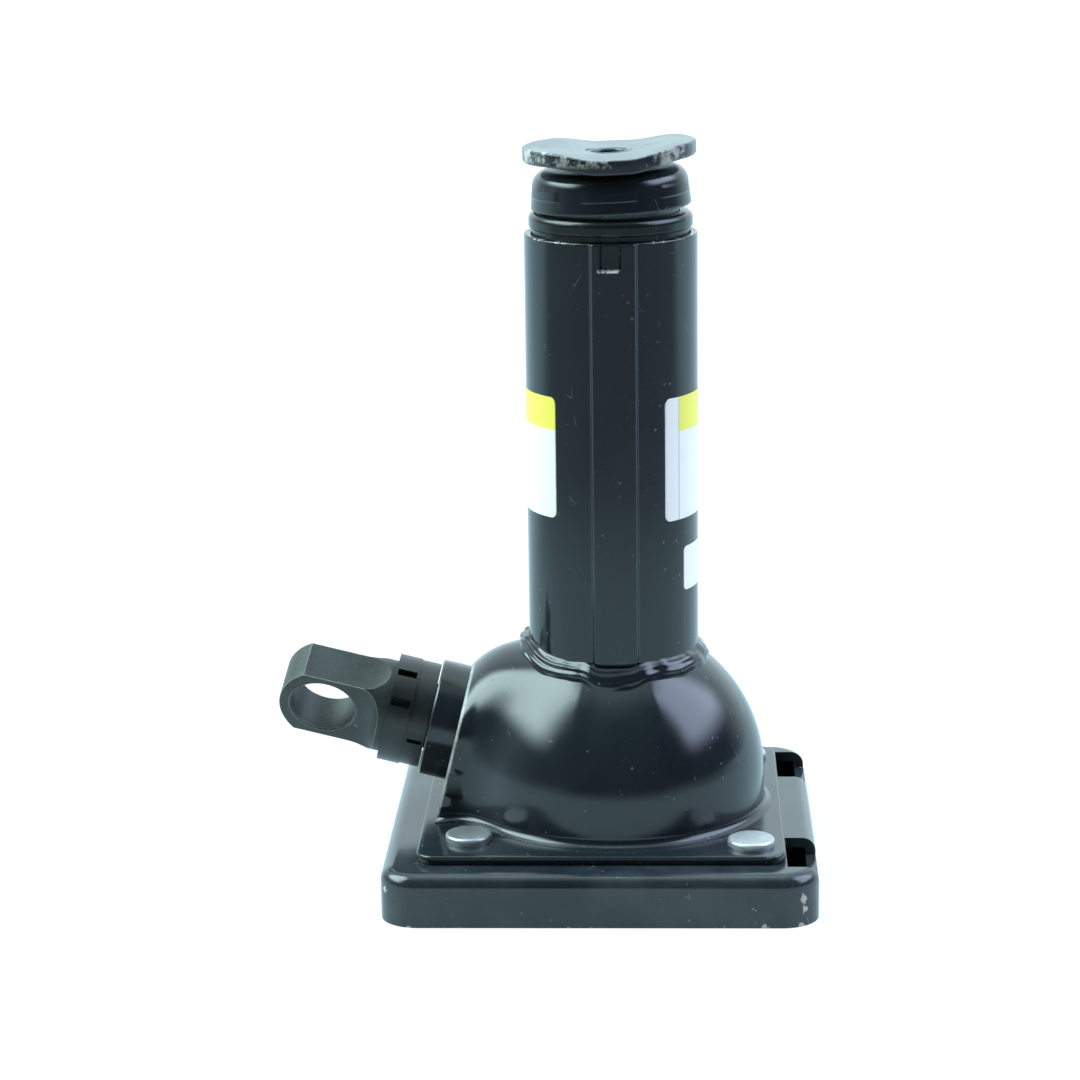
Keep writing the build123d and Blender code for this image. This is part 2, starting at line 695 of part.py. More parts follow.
# Bevel gear: teeth point up, half a tooth off the pinion tooth that enters the gap
gear_axis = Vector(0, 0, -1)
gear_root, gear_root_inner = cone_points(gear_cone, gear_addendum, gear_dedendum)
gear_slope = tan(radians(pressure_angle))
gear_half = (tooth_pitch - backlash) / 4
gear_flank = [(gear_half + (gear_dedendum + tooth_sink) * gear_slope, gear_dedendum + tooth_sink),
              (gear_half - gear_addendum * gear_slope, -gear_addendum)]
root_height = shaft_height - gear_root[0]
root_inner_height = shaft_height - gear_root_inner[0]
with BuildPart() as bevel_gear:
    with BuildSketch(Plane.XZ):
        with BuildLine():
            Polyline((0, hub_foot), (hub_radius, hub_foot), (hub_radius, gear_bottom),
                     (gear_root[1] - gear_rim, gear_bottom), (gear_root[1], gear_bottom + gear_rim),
                     (gear_root[1], root_height), (gear_root_inner[1], root_inner_height),
                     (gear_root_inner[1] - gear_rim, root_inner_height),
                     (gear_root_inner[1] - gear_rim - gear_dish, root_inner_height - gear_dish),
                     (gear_root_inner[1] - gear_rim - gear_dish_width, root_inner_height - gear_dish),
                     (hub_radius, root_inner_height), (hub_radius, hub_top), (0, hub_top), close=True)
        make_face()
    revolve(axis=Axis.Z)
    for i in range(gear_teeth):
        big, small = tooth_sections(gear_axis, Vector(-1, 0, 0), gear_cone, 360.0 / gear_teeth * (i + 0.5))
        with BuildSketch(big):
            with BuildLine():
                Polyline([(x, y) for x, y in gear_flank] + [(-x, y) for x, y in reversed(gear_flank)],
                         close=True)
            make_face()
        with BuildSketch(small):
            with BuildLine():
                Polyline([(x * inner_scale, y * inner_scale) for x, y in gear_flank]
                         + [(-x * inner_scale, y * inner_scale) for x, y in reversed(gear_flank)], close=True)
            make_face()
        loft(ruled=True)
    with BuildSketch(Plane.XY.offset(hub_foot)):
        Circle(screw_journal + seat_fit)
    extrude(amount=hub_top - hub_foot, mode=Mode.SUBTRACT)
    with BuildSketch(Plane.XZ.offset(-hub_radius)):
        with Locations((0, key_pin_height)):
            Circle(pin_radius + seat_fit)
    extrude(amount=2 * hub_radius, mode=Mode.SUBTRACT)
bevel_gear.part.label = "bevel_gear"

with BuildPart() as gear_pin:
    with BuildSketch(Plane.XZ.offset(-hub_radius + pin_sink)):
        with Locations((0, key_pin_height)):
            Circle(pin_radius)
    extrude(amount=2 * hub_radius - 2 * pin_sink)
gear_pin.part.label = "gear_pin"

# Drive screw
spigot_top = drive_screw_top + stop_thickness + spigot_reach
with BuildPart() as drive_screw:
    with BuildSketch(Plane.XZ):
        with BuildLine():
            Polyline((0, cup_floor + air), (pilot_radius, cup_floor + air), (pilot_radius, journal_foot),
                     (screw_journal, journal_foot), (screw_journal, hub_top + seat_fit),
                     (screw_shoulder, hub_top + seat_fit), (screw_shoulder, hub_top + shoulder_height),
                     (drive_screw_radius, hub_top + shoulder_height), (drive_screw_radius, drive_screw_top),
                     (stop_spigot, drive_screw_top), (stop_spigot, spigot_top), (0, spigot_top), close=True)
        make_face()
    revolve(axis=Axis.Z)
    with BuildSketch(Plane.XZ.offset(-hub_radius)):
        with Locations((0, key_pin_height)):
            Circle(pin_radius + seat_fit)
    extrude(amount=2 * hub_radius, mode=Mode.SUBTRACT)
drive_screw.part.label = "drive_screw"

with BuildPart() as screw_stop:
    with BuildSketch(Plane.XY.offset(drive_screw_top + seat_fit)):
        Circle(stop_radius)
        Circle(stop_spigot + seat_fit, mode=Mode.SUBTRACT)
    extrude(amount=stop_thickness)
    stop_rims = screw_stop.edges().filter_by(GeomType.CIRCLE)
    chamfer(stop_rims.filter_by(lambda e: e.radius > stop_radius - match), stop_edge)
screw_stop.part.label = "screw_stop"

# Lift screw: inside thread at the foot, outside thread along the body
screw_foot = guide_foot - air - flange_height
with BuildPart() as lift_screw:
    with BuildSketch(Plane.XY.offset(screw_foot)):
        Circle(screw_flange)
    extrude(amount=flange_height)
    with BuildSketch(Plane.XY.offset(screw_foot)):
        Circle(lift_screw_radius)
    extrude(amount=lift_screw_top - screw_foot)
    with BuildSketch(Plane.XY.offset(screw_foot)):
        Circle(drive_screw_radius + run_fit)
    extrude(amount=lift_screw_top - screw_foot, mode=Mode.SUBTRACT)
    with BuildSketch(Plane.XY.offset(screw_foot + lift_screw_thread)):
        Circle(lift_screw_bore)
    extrude(amount=lift_screw_top - screw_foot, mode=Mode.SUBTRACT)
    with BuildSketch(Plane.XY.offset(circlip_foot - seat_fit)):
        Circle(screw_flange)
        Circle(lift_screw_radius - circlip_depth, mode=Mode.SUBTRACT)
    extrude(amount=circlip_thickness + 2 * seat_fit, mode=Mode.SUBTRACT)
lift_screw.part.label = "lift_screw"

with BuildPart() as screw_circlip:
    with BuildSketch(Plane.XY.offset(circlip_foot)):
        Circle(circlip_radius)
        Circle(lift_screw_radius - circlip_depth + seat_fit, mode=Mode.SUBTRACT)
        Rectangle(circlip_gap, 2 * circlip_radius, align=(Align.CENTER, Align.MAX), mode=Mode.SUBTRACT)
    extrude(amount=circlip_thickness)
screw_circlip.part.label = "screw_circlip"

# Guide tube: in-turned foot, ring bead at the mouth, inward bead at the back
with BuildPart() as guide_tube:
    with BuildSketch(Plane.XY.offset(guide_foot)):
        Circle(guide_radius)
    extrude(amount=ring_bottom + ring_height - guide_foot)
    with BuildSketch(Plane.XY.offset(ring_bottom)):
        Circle(ring_radius)
    extrude(amount=ring_height)
    ring_rims = guide_tube.edges().filter_by(GeomType.CIRCLE)
    ring_rims = ring_rims.filter_by(lambda e: e.radius > ring_radius - match).sort_by(Axis.Z)
    fillet(ring_rims[0], ring_lower_edge)
    ring_rims = guide_tube.edges().filter_by(GeomType.CIRCLE)
    fillet(ring_rims.filter_by(lambda e: e.radius > ring_radius - match).sort_by(Axis.Z)[-1], ring_edge)
    with BuildSketch(Plane.XY.offset(guide_foot)):
        Circle(lift_screw_radius + run_fit)
    extrude(amount=ring_bottom + ring_height - guide_foot, mode=Mode.SUBTRACT)
    with BuildSketch(Plane.XY.offset(guide_foot + foot_plate)):
        Circle(guide_bore)
    extrude(amount=ring_bottom - guide_foot - foot_plate, mode=Mode.SUBTRACT)
    with BuildSketch(Plane.XY.offset(ring_bottom)):
        Circle(ring_bore)
    extrude(amount=ring_height, mode=Mode.SUBTRACT)
    with BuildSketch(Plane.XY.offset(guide_foot + foot_plate)):
        Circle(guide_bore + bead_wall / 2)
        Circle(bead_radius, mode=Mode.SUBTRACT)
        Rectangle(bead_width, 2 * guide_radius, align=(Align.CENTER, Align.MIN), mode=Mode.INTERSECT)
    extrude(amount=ring_bottom - guide_foot - foot_plate)
    with BuildSketch(Plane.XY.offset(guide_foot + foot_plate)):
        Circle(2 * guide_radius)
        Circle(guide_radius - bead_depth, mode=Mode.SUBTRACT)
        Rectangle(bead_width - bead_wall, 3 * guide_radius, align=(Align.CENTER, Align.MIN), mode=Mode.INTERSECT)
    extrude(amount=ring_bottom - guide_foot - 2 * foot_plate, mode=Mode.SUBTRACT)
guide_tube.part.label = "guide_tube"

with BuildPart() as guide_key:
    with BuildSketch(rib_plane(guide_key_foot)):
        Circle(groove_radius - air)
        Circle(guide_radius + seat_fit, mode=Mode.SUBTRACT)
        Rectangle(groove_width - 2 * air, 2 * rib_radius, align=(Align.CENTER, Align.MAX), mode=Mode.INTERSECT)
    extrude(amount=guide_key_height)
guide_key.part.label = "guide_key"

# Lift tube, its nut and its plug
tube_seat = nut_foot + nut_flange
with BuildPart() as lift_nut:
    with BuildSketch(Plane.XY.offset(nut_foot)):
        Circle(nut_flange_radius)
        Rectangle(bead_width + 2 * air, 2 * guide_bore, align=(Align.CENTER, Align.MIN), mode=Mode.SUBTRACT)
        Circle(bead_radius - air)
    extrude(amount=nut_flange)
    with BuildSketch(Plane.XY.offset(tube_seat)):
        Circle(lift_bore - seat_fit)
    extrude(amount=nut_body)
    with BuildSketch(Plane.XY.offset(nut_foot)):
        Circle(lift_screw_radius + run_fit)
    extrude(amount=nut_flange + nut_body, mode=Mode.SUBTRACT)
lift_nut.part.label = "lift_nut"

with BuildPart() as lift_tube:
    with BuildSketch(Plane.XY.offset(tube_seat)):
        Circle(lift_radius)
        Circle(lift_bore, mode=Mode.SUBTRACT)
    extrude(amount=lift_top - tube_seat)
lift_tube.part.label = "lift_tube"

with BuildPart() as head_plug:
    with BuildSketch(Plane.XY.offset(lift_top - plug_height)):
        Circle(lift_bore - seat_fit)
        Circle(plug_bore, mode=Mode.SUBTRACT)
    extrude(amount=plug_height)
head_plug.part.label = "head_plug"

# Dust cap: tapered wall, soft shoulder, six raised pads with a nick at one end of each
with BuildPart() as dust_cap:
    with BuildSketch(Plane(origin=head_plane(0).origin, x_dir=head_plane(0).x_dir, z_dir=front)):
        with BuildLine():
            Polyline((0, cap_foot), (cap_radius, cap_foot), (cap_radius - cap_taper, cap_top), (0, cap_top),
                     close=True)
        make_face()
    revolve(axis=Axis(head_plane(0).origin, head_plane(0).z_dir))
    fillet(dust_cap.faces().sort_by(Axis(head_plane(0).origin, head_plane(0).z_dir))[-1].edges(), cap_edge)
    with BuildSketch(head_plane(pad_foot)):
        Circle(cap_radius - cap_taper / 2 + pad_proud)
        Circle(lift_radius + air, mode=Mode.SUBTRACT)
        with BuildLine(mode=Mode.PRIVATE) as pad_wedge:
            wedge_x = 2 * cap_radius * sin(radians(pad_angle / 2))
            wedge_y = -2 * cap_radius * cos(radians(pad_angle / 2))
            Polyline((0, 0), (-wedge_x, wedge_y), (wedge_x, wedge_y), close=True)
        with BuildSketch(mode=Mode.PRIVATE) as pad_face:
            with PolarLocations(0, pad_count):
                make_face(pad_wedge.edges())
        add(pad_face.sketch, mode=Mode.INTERSECT)
    extrude(amount=pad_height)
    with BuildSketch(Plane(origin=head_plane(0).origin, x_dir=head_plane(0).x_dir, z_dir=front)):
        with BuildLine():
            cap_inner = cap_radius - cap_wall
            Polyline((0, cap_foot), (cap_inner, cap_foot), (cap_inner - cap_taper / 2, cap_top - cap_roof),
                     (0, cap_top - cap_roof), close=True)
        make_face()
    revolve(axis=Axis(head_plane(0).origin, head_plane(0).z_dir), mode=Mode.SUBTRACT)
    flat_faces = dust_cap.faces().filter_by(GeomType.PLANE)
    inner_roof = flat_faces.sort_by(Axis(head_plane(0).origin, head_plane(0).z_dir))[-2]
    fillet(inner_roof.edges(), cap_inner_edge)
    with BuildSketch(head_plane(cap_foot)):
        Circle(cap_rivet_bore)
    extrude(amount=2 * cap_roof + cap_top - cap_foot, mode=Mode.SUBTRACT)
    for i in range(pad_count):
        turn = radians(360.0 / pad_count * i + pad_angle / 2 - pad_nick_turn)
        level = head_plane(pad_foot + pad_height / 2)
        out = level.x_dir * sin(turn) + front * cos(turn)
        with BuildSketch(Plane(origin=level.origin + out * (cap_radius - pad_nick_depth), x_dir=level.z_dir,
                               z_dir=out)):
            Rectangle(pad_nick_height, pad_nick)
        extrude(amount=cap_radius, mode=Mode.SUBTRACT)
dust_cap.part.label = "dust_cap"

# Saddle: a wavy plate, its valley runs from front to back
with BuildPart() as saddle:
    wave_start = head_plane(0).origin - front * (saddle_radius + saddle_spare)
    with BuildSketch(Plane(origin=wave_start, x_dir=head_plane(0).x_dir, z_dir=front)):
        with BuildLine():
            wave = [(-saddle_radius - saddle_spare, saddle_end), (-saddle_shoulder_spot, saddle_shoulder), (0, 0),
                    (saddle_shoulder_spot, saddle_shoulder), (saddle_radius + saddle_spare, saddle_end)]
            lower = Spline([(x, saddle_foot + y) for x, y in wave])
            upper = Spline([(x, saddle_foot + saddle_thickness + y) for x, y in wave])
            Line(lower @ 0, upper @ 0)
            Line(lower @ 1, upper @ 1)
        make_face()
    extrude(amount=2 * (saddle_radius + saddle_spare))
    with BuildSketch(head_plane(saddle_foot - saddle_thickness)):
        Circle(saddle_radius)
    extrude(amount=4 * saddle_thickness, mode=Mode.INTERSECT)
    fillet(saddle.edges().filter_by(lambda e: e.geom_type != GeomType.LINE), saddle_edge)
    with BuildSketch(head_plane(saddle_foot - saddle_thickness)):
        Circle(rivet_tube + run_fit)
    extrude(amount=4 * saddle_thickness, mode=Mode.SUBTRACT)
    with BuildSketch(head_plane(saddle_foot + saddle_thickness - rivet_lip_height - air)):
        Circle(rivet_lip + air)
    extrude(amount=saddle_thickness, mode=Mode.SUBTRACT)
saddle.part.label = "saddle"

# Hollow rivet through the saddle, the cap and the plug
rivet_top = saddle_foot + saddle_thickness - rivet_lip_height
rivet_bottom = lift_top - plug_height - 2 * air
with BuildPart() as saddle_rivet:
    with BuildSketch(head_plane(rivet_top)):
        Circle(rivet_lip)
    extrude(amount=rivet_lip_height - air)
    with BuildSketch(head_plane(rivet_bottom)):
        Circle(rivet_tube)
    extrude(amount=rivet_top - rivet_bottom)
    with BuildSketch(head_plane(rivet_bottom)):
        Circle(rivet_tail)
    extrude(amount=-rivet_tail_height)
    with BuildSketch(head_plane(rivet_bottom - rivet_tail_height)):
        Circle(rivet_hole)
    extrude(amount=2 * (rivet_top - rivet_bottom), mode=Mode.SUBTRACT)
saddle_rivet.part.label = "saddle_rivet"

pieces = [base_plate, gear_housing, base_rivets, outer_tube, tube_weld, bearing_sleeve, drive_eye, bevel_pinion,
          pinion_clip, pinion_washer, clip_collar, lower_washer, pilot_bush, thrust_balls, ball_cage,
          upper_washer, bevel_gear, gear_pin, drive_screw, screw_stop, lift_screw, screw_circlip, guide_tube,
          guide_key, lift_nut, lift_tube, head_plug, dust_cap, saddle, saddle_rivet]
for piece in pieces:
    export_step(piece.part, f"parts/{piece.part.label}.step")
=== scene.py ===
import functools
import math

import bmesh
import bpy
import numpy as np
from mathutils import Matrix, Vector


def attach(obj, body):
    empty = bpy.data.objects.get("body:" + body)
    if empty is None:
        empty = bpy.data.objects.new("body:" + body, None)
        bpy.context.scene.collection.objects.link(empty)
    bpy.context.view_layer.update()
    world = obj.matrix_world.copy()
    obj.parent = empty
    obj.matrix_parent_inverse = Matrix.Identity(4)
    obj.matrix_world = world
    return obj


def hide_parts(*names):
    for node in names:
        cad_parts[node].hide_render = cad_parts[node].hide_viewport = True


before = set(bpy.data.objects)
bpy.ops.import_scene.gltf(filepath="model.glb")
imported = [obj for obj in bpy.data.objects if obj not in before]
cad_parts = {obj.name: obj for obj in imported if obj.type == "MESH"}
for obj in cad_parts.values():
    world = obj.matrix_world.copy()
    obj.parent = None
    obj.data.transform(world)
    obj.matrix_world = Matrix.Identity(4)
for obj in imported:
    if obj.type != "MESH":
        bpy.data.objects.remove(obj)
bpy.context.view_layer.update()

scene = bpy.context.scene
scene.view_settings.view_transform = "Standard"

# Outer tube, in millimetres as every size here is
tube = dict(radius=25.4, foot=62.0, top=192.0, ribWidth=13.4, ribProud=1.2, ribFoot=66.7, ribTurn=2.5)


# Shader maths: a wrapped socket takes + - * and **, with numbers on either side
class Value:
    def __init__(self, tree, socket):
        self.tree = tree
        self.socket = socket

    def link(self, node, slot, value):
        target = node.inputs[slot]
        if isinstance(value, Value):
            self.tree.links.new(value.socket, target)
        else:
            target.default_value = value

    def maths(self, operation, *values):
        node = self.tree.nodes.new("ShaderNodeMath")
        node.operation = operation
        for slot, value in enumerate(values):
            self.link(node, slot, value)
        return Value(self.tree, node.outputs[0])

    def node(self, kind, inputs=None, output=0, **settings):
        node = self.tree.nodes.new(kind)
        for name, value in settings.items():
            setattr(node, name, value)
        for slot, value in (inputs or {}).items():
            self.link(node, slot, value)
        return Value(self.tree, node.outputs[output])

    def __add__(self, other):
        return self.maths("ADD", self, other)

    def __sub__(self, other):
        return self.maths("SUBTRACT", self, other)

    def __mul__(self, other):
        return self.maths("MULTIPLY", self, other)

    def __pow__(self, other):
        return self.maths("POWER", self, other)

    def __radd__(self, other):
        return self.maths("ADD", other, self)

    def __rsub__(self, other):
        return self.maths("SUBTRACT", other, self)

    def __rmul__(self, other):
        return self.maths("MULTIPLY", other, self)

    def __neg__(self):
        return self.maths("MULTIPLY", self, -1.0)

    def __abs__(self):
        return self.maths("ABSOLUTE", self)

    def least(self, other):
        return self.maths("MINIMUM", self, other)

    def most(self, other):
        return self.maths("MAXIMUM", self, other)

    # 0 below low, 1 above high, smooth between. It falls instead where low is above high.
    def rise(self, low, high):
        falls = low > high
        ends = (high, low) if falls else (low, high)
        inputs = {0: self, 1: ends[0], 2: ends[1], 3: 1.0 if falls else 0.0, 4: 0.0 if falls else 1.0}
        return self.node("ShaderNodeMapRange", inputs, interpolation_type="SMOOTHSTEP", clamp=True)

    def between(self, low, high, soft):
        return self.rise(low - soft, low + soft) * self.rise(high + soft, high - soft)


def mixColour(factor, first, second):
    return factor.node("ShaderNodeMix", {0: factor, 6: first, 7: second}, 2, data_type="RGBA")


def rgb(red, green, blue):
    return (red, green, blue, 1.0)


def newMaterial(name):
    material = bpy.data.materials.new(name)
    material.use_nodes = True
    tree = material.node_tree
    tree.nodes.clear()
    out = tree.nodes.new("ShaderNodeOutputMaterial")
    shader = tree.nodes.new("ShaderNodeBsdfPrincipled")
    tree.links.new(shader.outputs[0], out.inputs[0])
    coordinates = tree.nodes.new("ShaderNodeTexCoord")
    place = Value(tree, coordinates.outputs["Object"])
    return material, shader, place


# The three numbers of a vector
def parts(vector):
    split = vector.tree.nodes.new("ShaderNodeSeparateXYZ")
    vector.tree.links.new(vector.socket, split.inputs[0])
    return [Value(vector.tree, output) for output in split.outputs]


# Object coordinates in millimetres
def millimetres(place):
    return [part * 1000.0 for part in parts(place)]


# Noise with `scale` lumps to the metre. A shift moves it, so that two layers don't agree.
def noise(place, scale, detail=2.0, rough=0.5, shift=0.0):
    where = place
    if shift:
        where = place.node("ShaderNodeMapping", {0: place, 1: (shift, shift * 0.7, shift * 1.3)})
    return where.node("ShaderNodeTexNoise", {"Vector": where, "Scale": scale, "Detail": detail, "Roughness": rough})


# Distance to the nearest cell centre or border, with `scale` cells to the metre
def cells(place, scale, feature="F1"):
    return place.node("ShaderNodeTexVoronoi", {"Vector": place, "Scale": scale}, feature=feature)


def bump(shader, height, strength, distance):
    normal = height.node("ShaderNodeBump", {"Strength": strength, "Distance": distance, "Height": height})
    height.tree.links.new(normal.socket, shader.inputs["Normal"])


def wire(shader, name, value):
    if isinstance(value, Value):
        value.tree.links.new(value.socket, shader.inputs[name])
    else:
        shader.inputs[name].default_value = value


# 1 along the edges of a mesh, where a rounded normal leaves the true one
def edgeMask(place, radius):
    rounded = place.node("ShaderNodeBevel", {"Radius": radius}, samples=4)
    normal = place.node("ShaderNodeNewGeometry", output="True Normal")
    likeness = place.node("ShaderNodeVectorMath", {0: rounded, 1: normal}, "Value", operation="DOT_PRODUCT")
    return likeness.rise(0.995, 0.90)


# Hair scratches: short pieces of the borders between cells, picked out by a noise
def hairs(place, scale, share):
    line = cells(place, scale, "DISTANCE_TO_EDGE").rise(0.012, 0.004)
    return line * noise(place, scale * 2.2, 1.0, 0.4, shift=11.0).rise(share, share + 0.05)


# 1 within `size` millimetres of a point, its border pushed in and out by `edge`
def spot(x, y, z, at, size, edge):
    away = ((x - at[0]) ** 2.0 + (y - at[1]) ** 2.0 + (z - at[2]) ** 2.0) ** 0.5
    return (away + edge).rise(size + 0.4, size - 0.2)


# Lumps or cells to the metre in the layers of the paint
grain = dict(film=38.0, cloud=9.0, specks=260.0, speckGroups=70.0, motes=620.0, moteGroups=90.0, hairs=95.0,
             ragged=520.0, patches=75.0, peel=420.0, waves=85.0)


# Glossy black paint: orange peel, dust film and specks, scratches, and metal where paint is chipped off; `top` adds
# a painted reflection on upward faces, and the metal layer also takes the lip's painted highlight
def paint(name, dust=0.06, gloss=0.09, wear=0.0, wearSize=0.0006, hair=0.25, knocks=(), bareAndHighlight=None, top=0.0,
          mattEnd=False, tint=(0.010, 0.0145, 0.019)):
    material, shader, place = newMaterial(name)
    x, y, z = millimetres(place)
    film = noise(place, grain["film"], 4.0, 0.6).rise(0.38, 0.72)
    speckGroups = noise(place, grain["speckGroups"], 2.0, 0.5, shift=3.0).rise(0.46, 0.6)
    specks = cells(place, grain["specks"]).rise(0.13, 0.05) * speckGroups
    moteGroups = noise(place, grain["moteGroups"], 2.0, 0.5, shift=6.0).rise(0.5, 0.6)
    motes = cells(place, grain["motes"]).rise(0.1, 0.04) * moteGroups
    cloud = noise(place, grain["cloud"], 3.0, 0.55, shift=1.7)
    dustAndTopHighlight = film * dust + specks * 0.3 + motes * 0.25 + cloud.rise(0.35, 0.75) * dust * 0.5
    # Upward faces are lightened by `top`: a painted reflection of the bright room, laid on like a film of dust
    if top:
        upwards = parts(place.node("ShaderNodeNewGeometry", output="True Normal"))[2]
        dustAndTopHighlight = dustAndTopHighlight + upwards.rise(0.6, 0.95) * (0.35 + film * 0.65) * top
    scratch = hairs(place, grain["hairs"], 0.66)
    colour = mixColour(dustAndTopHighlight.least(1.0), rgb(*tint), rgb(0.30, 0.36, 0.37))
    colour = mixColour((scratch * hair * 0.7).least(1.0), colour, rgb(0.42, 0.48, 0.48))
    rough = gloss + film * 0.05 + specks * 0.4 + cloud * 0.04 + scratch * 0.2
    if mattEnd:
        rough = rough + alongShaft(x, z).rise(57.0, 58.2) * 0.7
    ragged = noise(place, grain["ragged"], 4.0, 0.65, shift=9.0)
    marks = []
    if wear:
        patches = ragged * 0.5 + noise(place, grain["patches"], 3.0, 0.6, shift=5.0)
        marks.append(edgeMask(place, wearSize) * patches.rise(0.93 - wear * 0.25, 1.0 - wear * 0.25))
    for at, size in knocks:
        marks.append(spot(x, y, z, at, size, (ragged - 0.5) * 4.5) * (0.3 + ragged * 0.6))
    # The metal layer: paint chipped off, and for the housing the painted highlight on the lip
    if bareAndHighlight:
        marks.append(bareAndHighlight(place, x, y, z, ragged))
    peel = noise(place, grain["peel"], 2.0, 0.5) * 0.3 + noise(place, grain["waves"], 2.0, 0.5, shift=5.0)
    # Marks lighten the colour towards metal, which on the housing's lip is a painted highlight
    if marks:
        knockedAndHighlight = functools.reduce(Value.most, marks)
        colour = mixColour(knockedAndHighlight, colour, mixColour(ragged, rgb(0.50, 0.50, 0.44), rgb(0.74, 0.78, 0.76)))
        rough = rough + knockedAndHighlight * 0.25
        peel = peel - knockedAndHighlight * 1.5
    wire(shader, "Base Color", colour)
    wire(shader, "Roughness", rough)
    shader.inputs["IOR"].default_value = 1.5
    bump(shader, peel, 0.06, 0.0004)
    return material


# Bare metal: fine grain, clouds of darker tone, spots and stains, hair scratches, and lighter edges, rubbed metal
# that is also a painted highlight
def metal(name, colour, rough, metallic=1.0, scratch=0.3, spots=0.0, wear=0.0):
    material, shader, place = newMaterial(name)
    lines = noise(place, 900.0, 3.0, 0.6)
    cloud = noise(place, 60.0, 4.0, 0.6, shift=2.0)
    dark = tuple(c * 0.55 for c in colour)
    mixed = mixColour(cloud.rise(0.35, 0.7), rgb(*dark), rgb(*colour))
    if spots:
        mixed = mixColour(cells(place, 700.0).rise(0.22, 0.1) * spots, mixed, rgb(0.08, 0.085, 0.08))
        stain = noise(place, 150.0, 4.0, 0.65, shift=8.0).rise(0.56, 0.7) * spots
        mixed = mixColour(stain, mixed, rgb(0.05, 0.047, 0.035))
    mixed = mixColour(hairs(place, 110.0, 0.64) * 0.12, mixed, rgb(0.5, 0.53, 0.52))
    # Edges painted lighter: rubbed metal and a painted highlight along them
    if wear:
        wornAndHighlightEdges = edgeMask(place, 0.0005) * cloud.rise(0.3, 0.55) * wear
        mixed = mixColour(wornAndHighlightEdges, mixed, rgb(0.66, 0.7, 0.68))
    wire(shader, "Base Color", mixed)
    shader.inputs["Metallic"].default_value = metallic
    wire(shader, "Roughness", rough + cloud * 0.16 + (lines - 0.5) * scratch * 0.3)
    bump(shader, lines + cloud * 0.6, scratch * 0.25, 0.0003)
    return material


# Torn paint on the rim of the tube and round the lanced stop
def rimTear(place, x, y, z, ragged):
    front = y.rise(5.0, -8.0)
    rim = z.rise(191.35, 191.85) * (ragged + noise(place, 130.0, 3.0, 0.6, shift=2.5)).rise(1.05, 1.25) * 0.7
    stopFoot = z.between(183.9, 184.7, 0.25) * x.between(-3.4, 2.6, 0.4) * front
    return (rim + stopFoot * ragged.rise(0.4, 0.52)).least(1.0)


# Painted highlight: a pale line in the paint's colour along the rim of the snout's mouth, where the lip catches the
# light
def lipPaintedHighlight(place, x, y, z, ragged):
    rim = alongShaft(x, z).between(housing["mouth"] - 0.75, housing["mouth"] + 0.05, 0.3)
    return rim * z.rise(18.5, 21.0) * (0.35 + ragged * 0.45) * y.rise(6.0, -4.0)


# The rim of the saddle is battered, most of all at its left end
def saddleWear(place, x, y, z, ragged):
    away = (x * x + y * y) ** 0.5
    patches = noise(place, 55.0, 3.0, 0.6, shift=3.3)
    rim = away.rise(24.0, 24.9) * z.rise(212.9, 214.6) * (patches + ragged * 0.8).rise(0.93, 1.12)
    left = x.rise(-14.0, -22.0) * away.rise(19.0, 24.5) * (patches + ragged * 0.5).rise(0.8, 1.0)
    return (rim * 0.55 + left * 0.5).least(0.75)


# Sticker paper: white, with a yellow band from a height up and perhaps a thin upright rule at an angle
def paper(name, band, bandFrom, rule=None):
    material, shader, place = newMaterial(name)
    x, y, z = millimetres(place)
    angle = x.maths("ARCTAN2", x, -y) * (180 / math.pi)
    fibre = noise(place, 900.0, 3.0, 0.6)
    grime = noise(place, 120.0, 4.0, 0.6, shift=4.0).rise(0.55, 0.8) * 0.12
    yellow = z.rise(band - 0.15, band + 0.15)
    if bandFrom is not None:
        yellow = yellow * angle.rise(bandFrom, bandFrom + 0.4)
    colour = mixColour(yellow, rgb(0.80, 0.84, 0.84), rgb(0.82, 0.82, 0.10))
    if rule is not None:
        colour = mixColour(angle.between(rule - 0.25, rule + 0.25, 0.12) * 0.85, colour, rgb(0.05, 0.05, 0.06))
    colour = mixColour(grime + (fibre - 0.5) * 0.06, colour, rgb(0.3, 0.32, 0.32))
    wire(shader, "Base Color", colour)
    wire(shader, "Roughness", 0.36 + fibre * 0.12)
    bump(shader, fibre, 0.05, 0.0001)
    return material


# Moulded plastic: a clouded colour and a fine matt grain
def plastic(name, colour, rough):
    material, shader, place = newMaterial(name)
    cloud = noise(place, 45.0, 4.0, 0.6)
    fine = noise(place, 500.0, 3.0, 0.6, shift=2.0)
    light = tuple(min(1.0, c * 2.2 + 0.01) for c in colour)
    wire(shader, "Base Color", mixColour(cloud.rise(0.4, 0.8) * 0.6, rgb(*colour), rgb(*light)))
    wire(shader, "Roughness", rough + fine * 0.12)
    bump(shader, fine, 0.12, 0.0003)
    return material


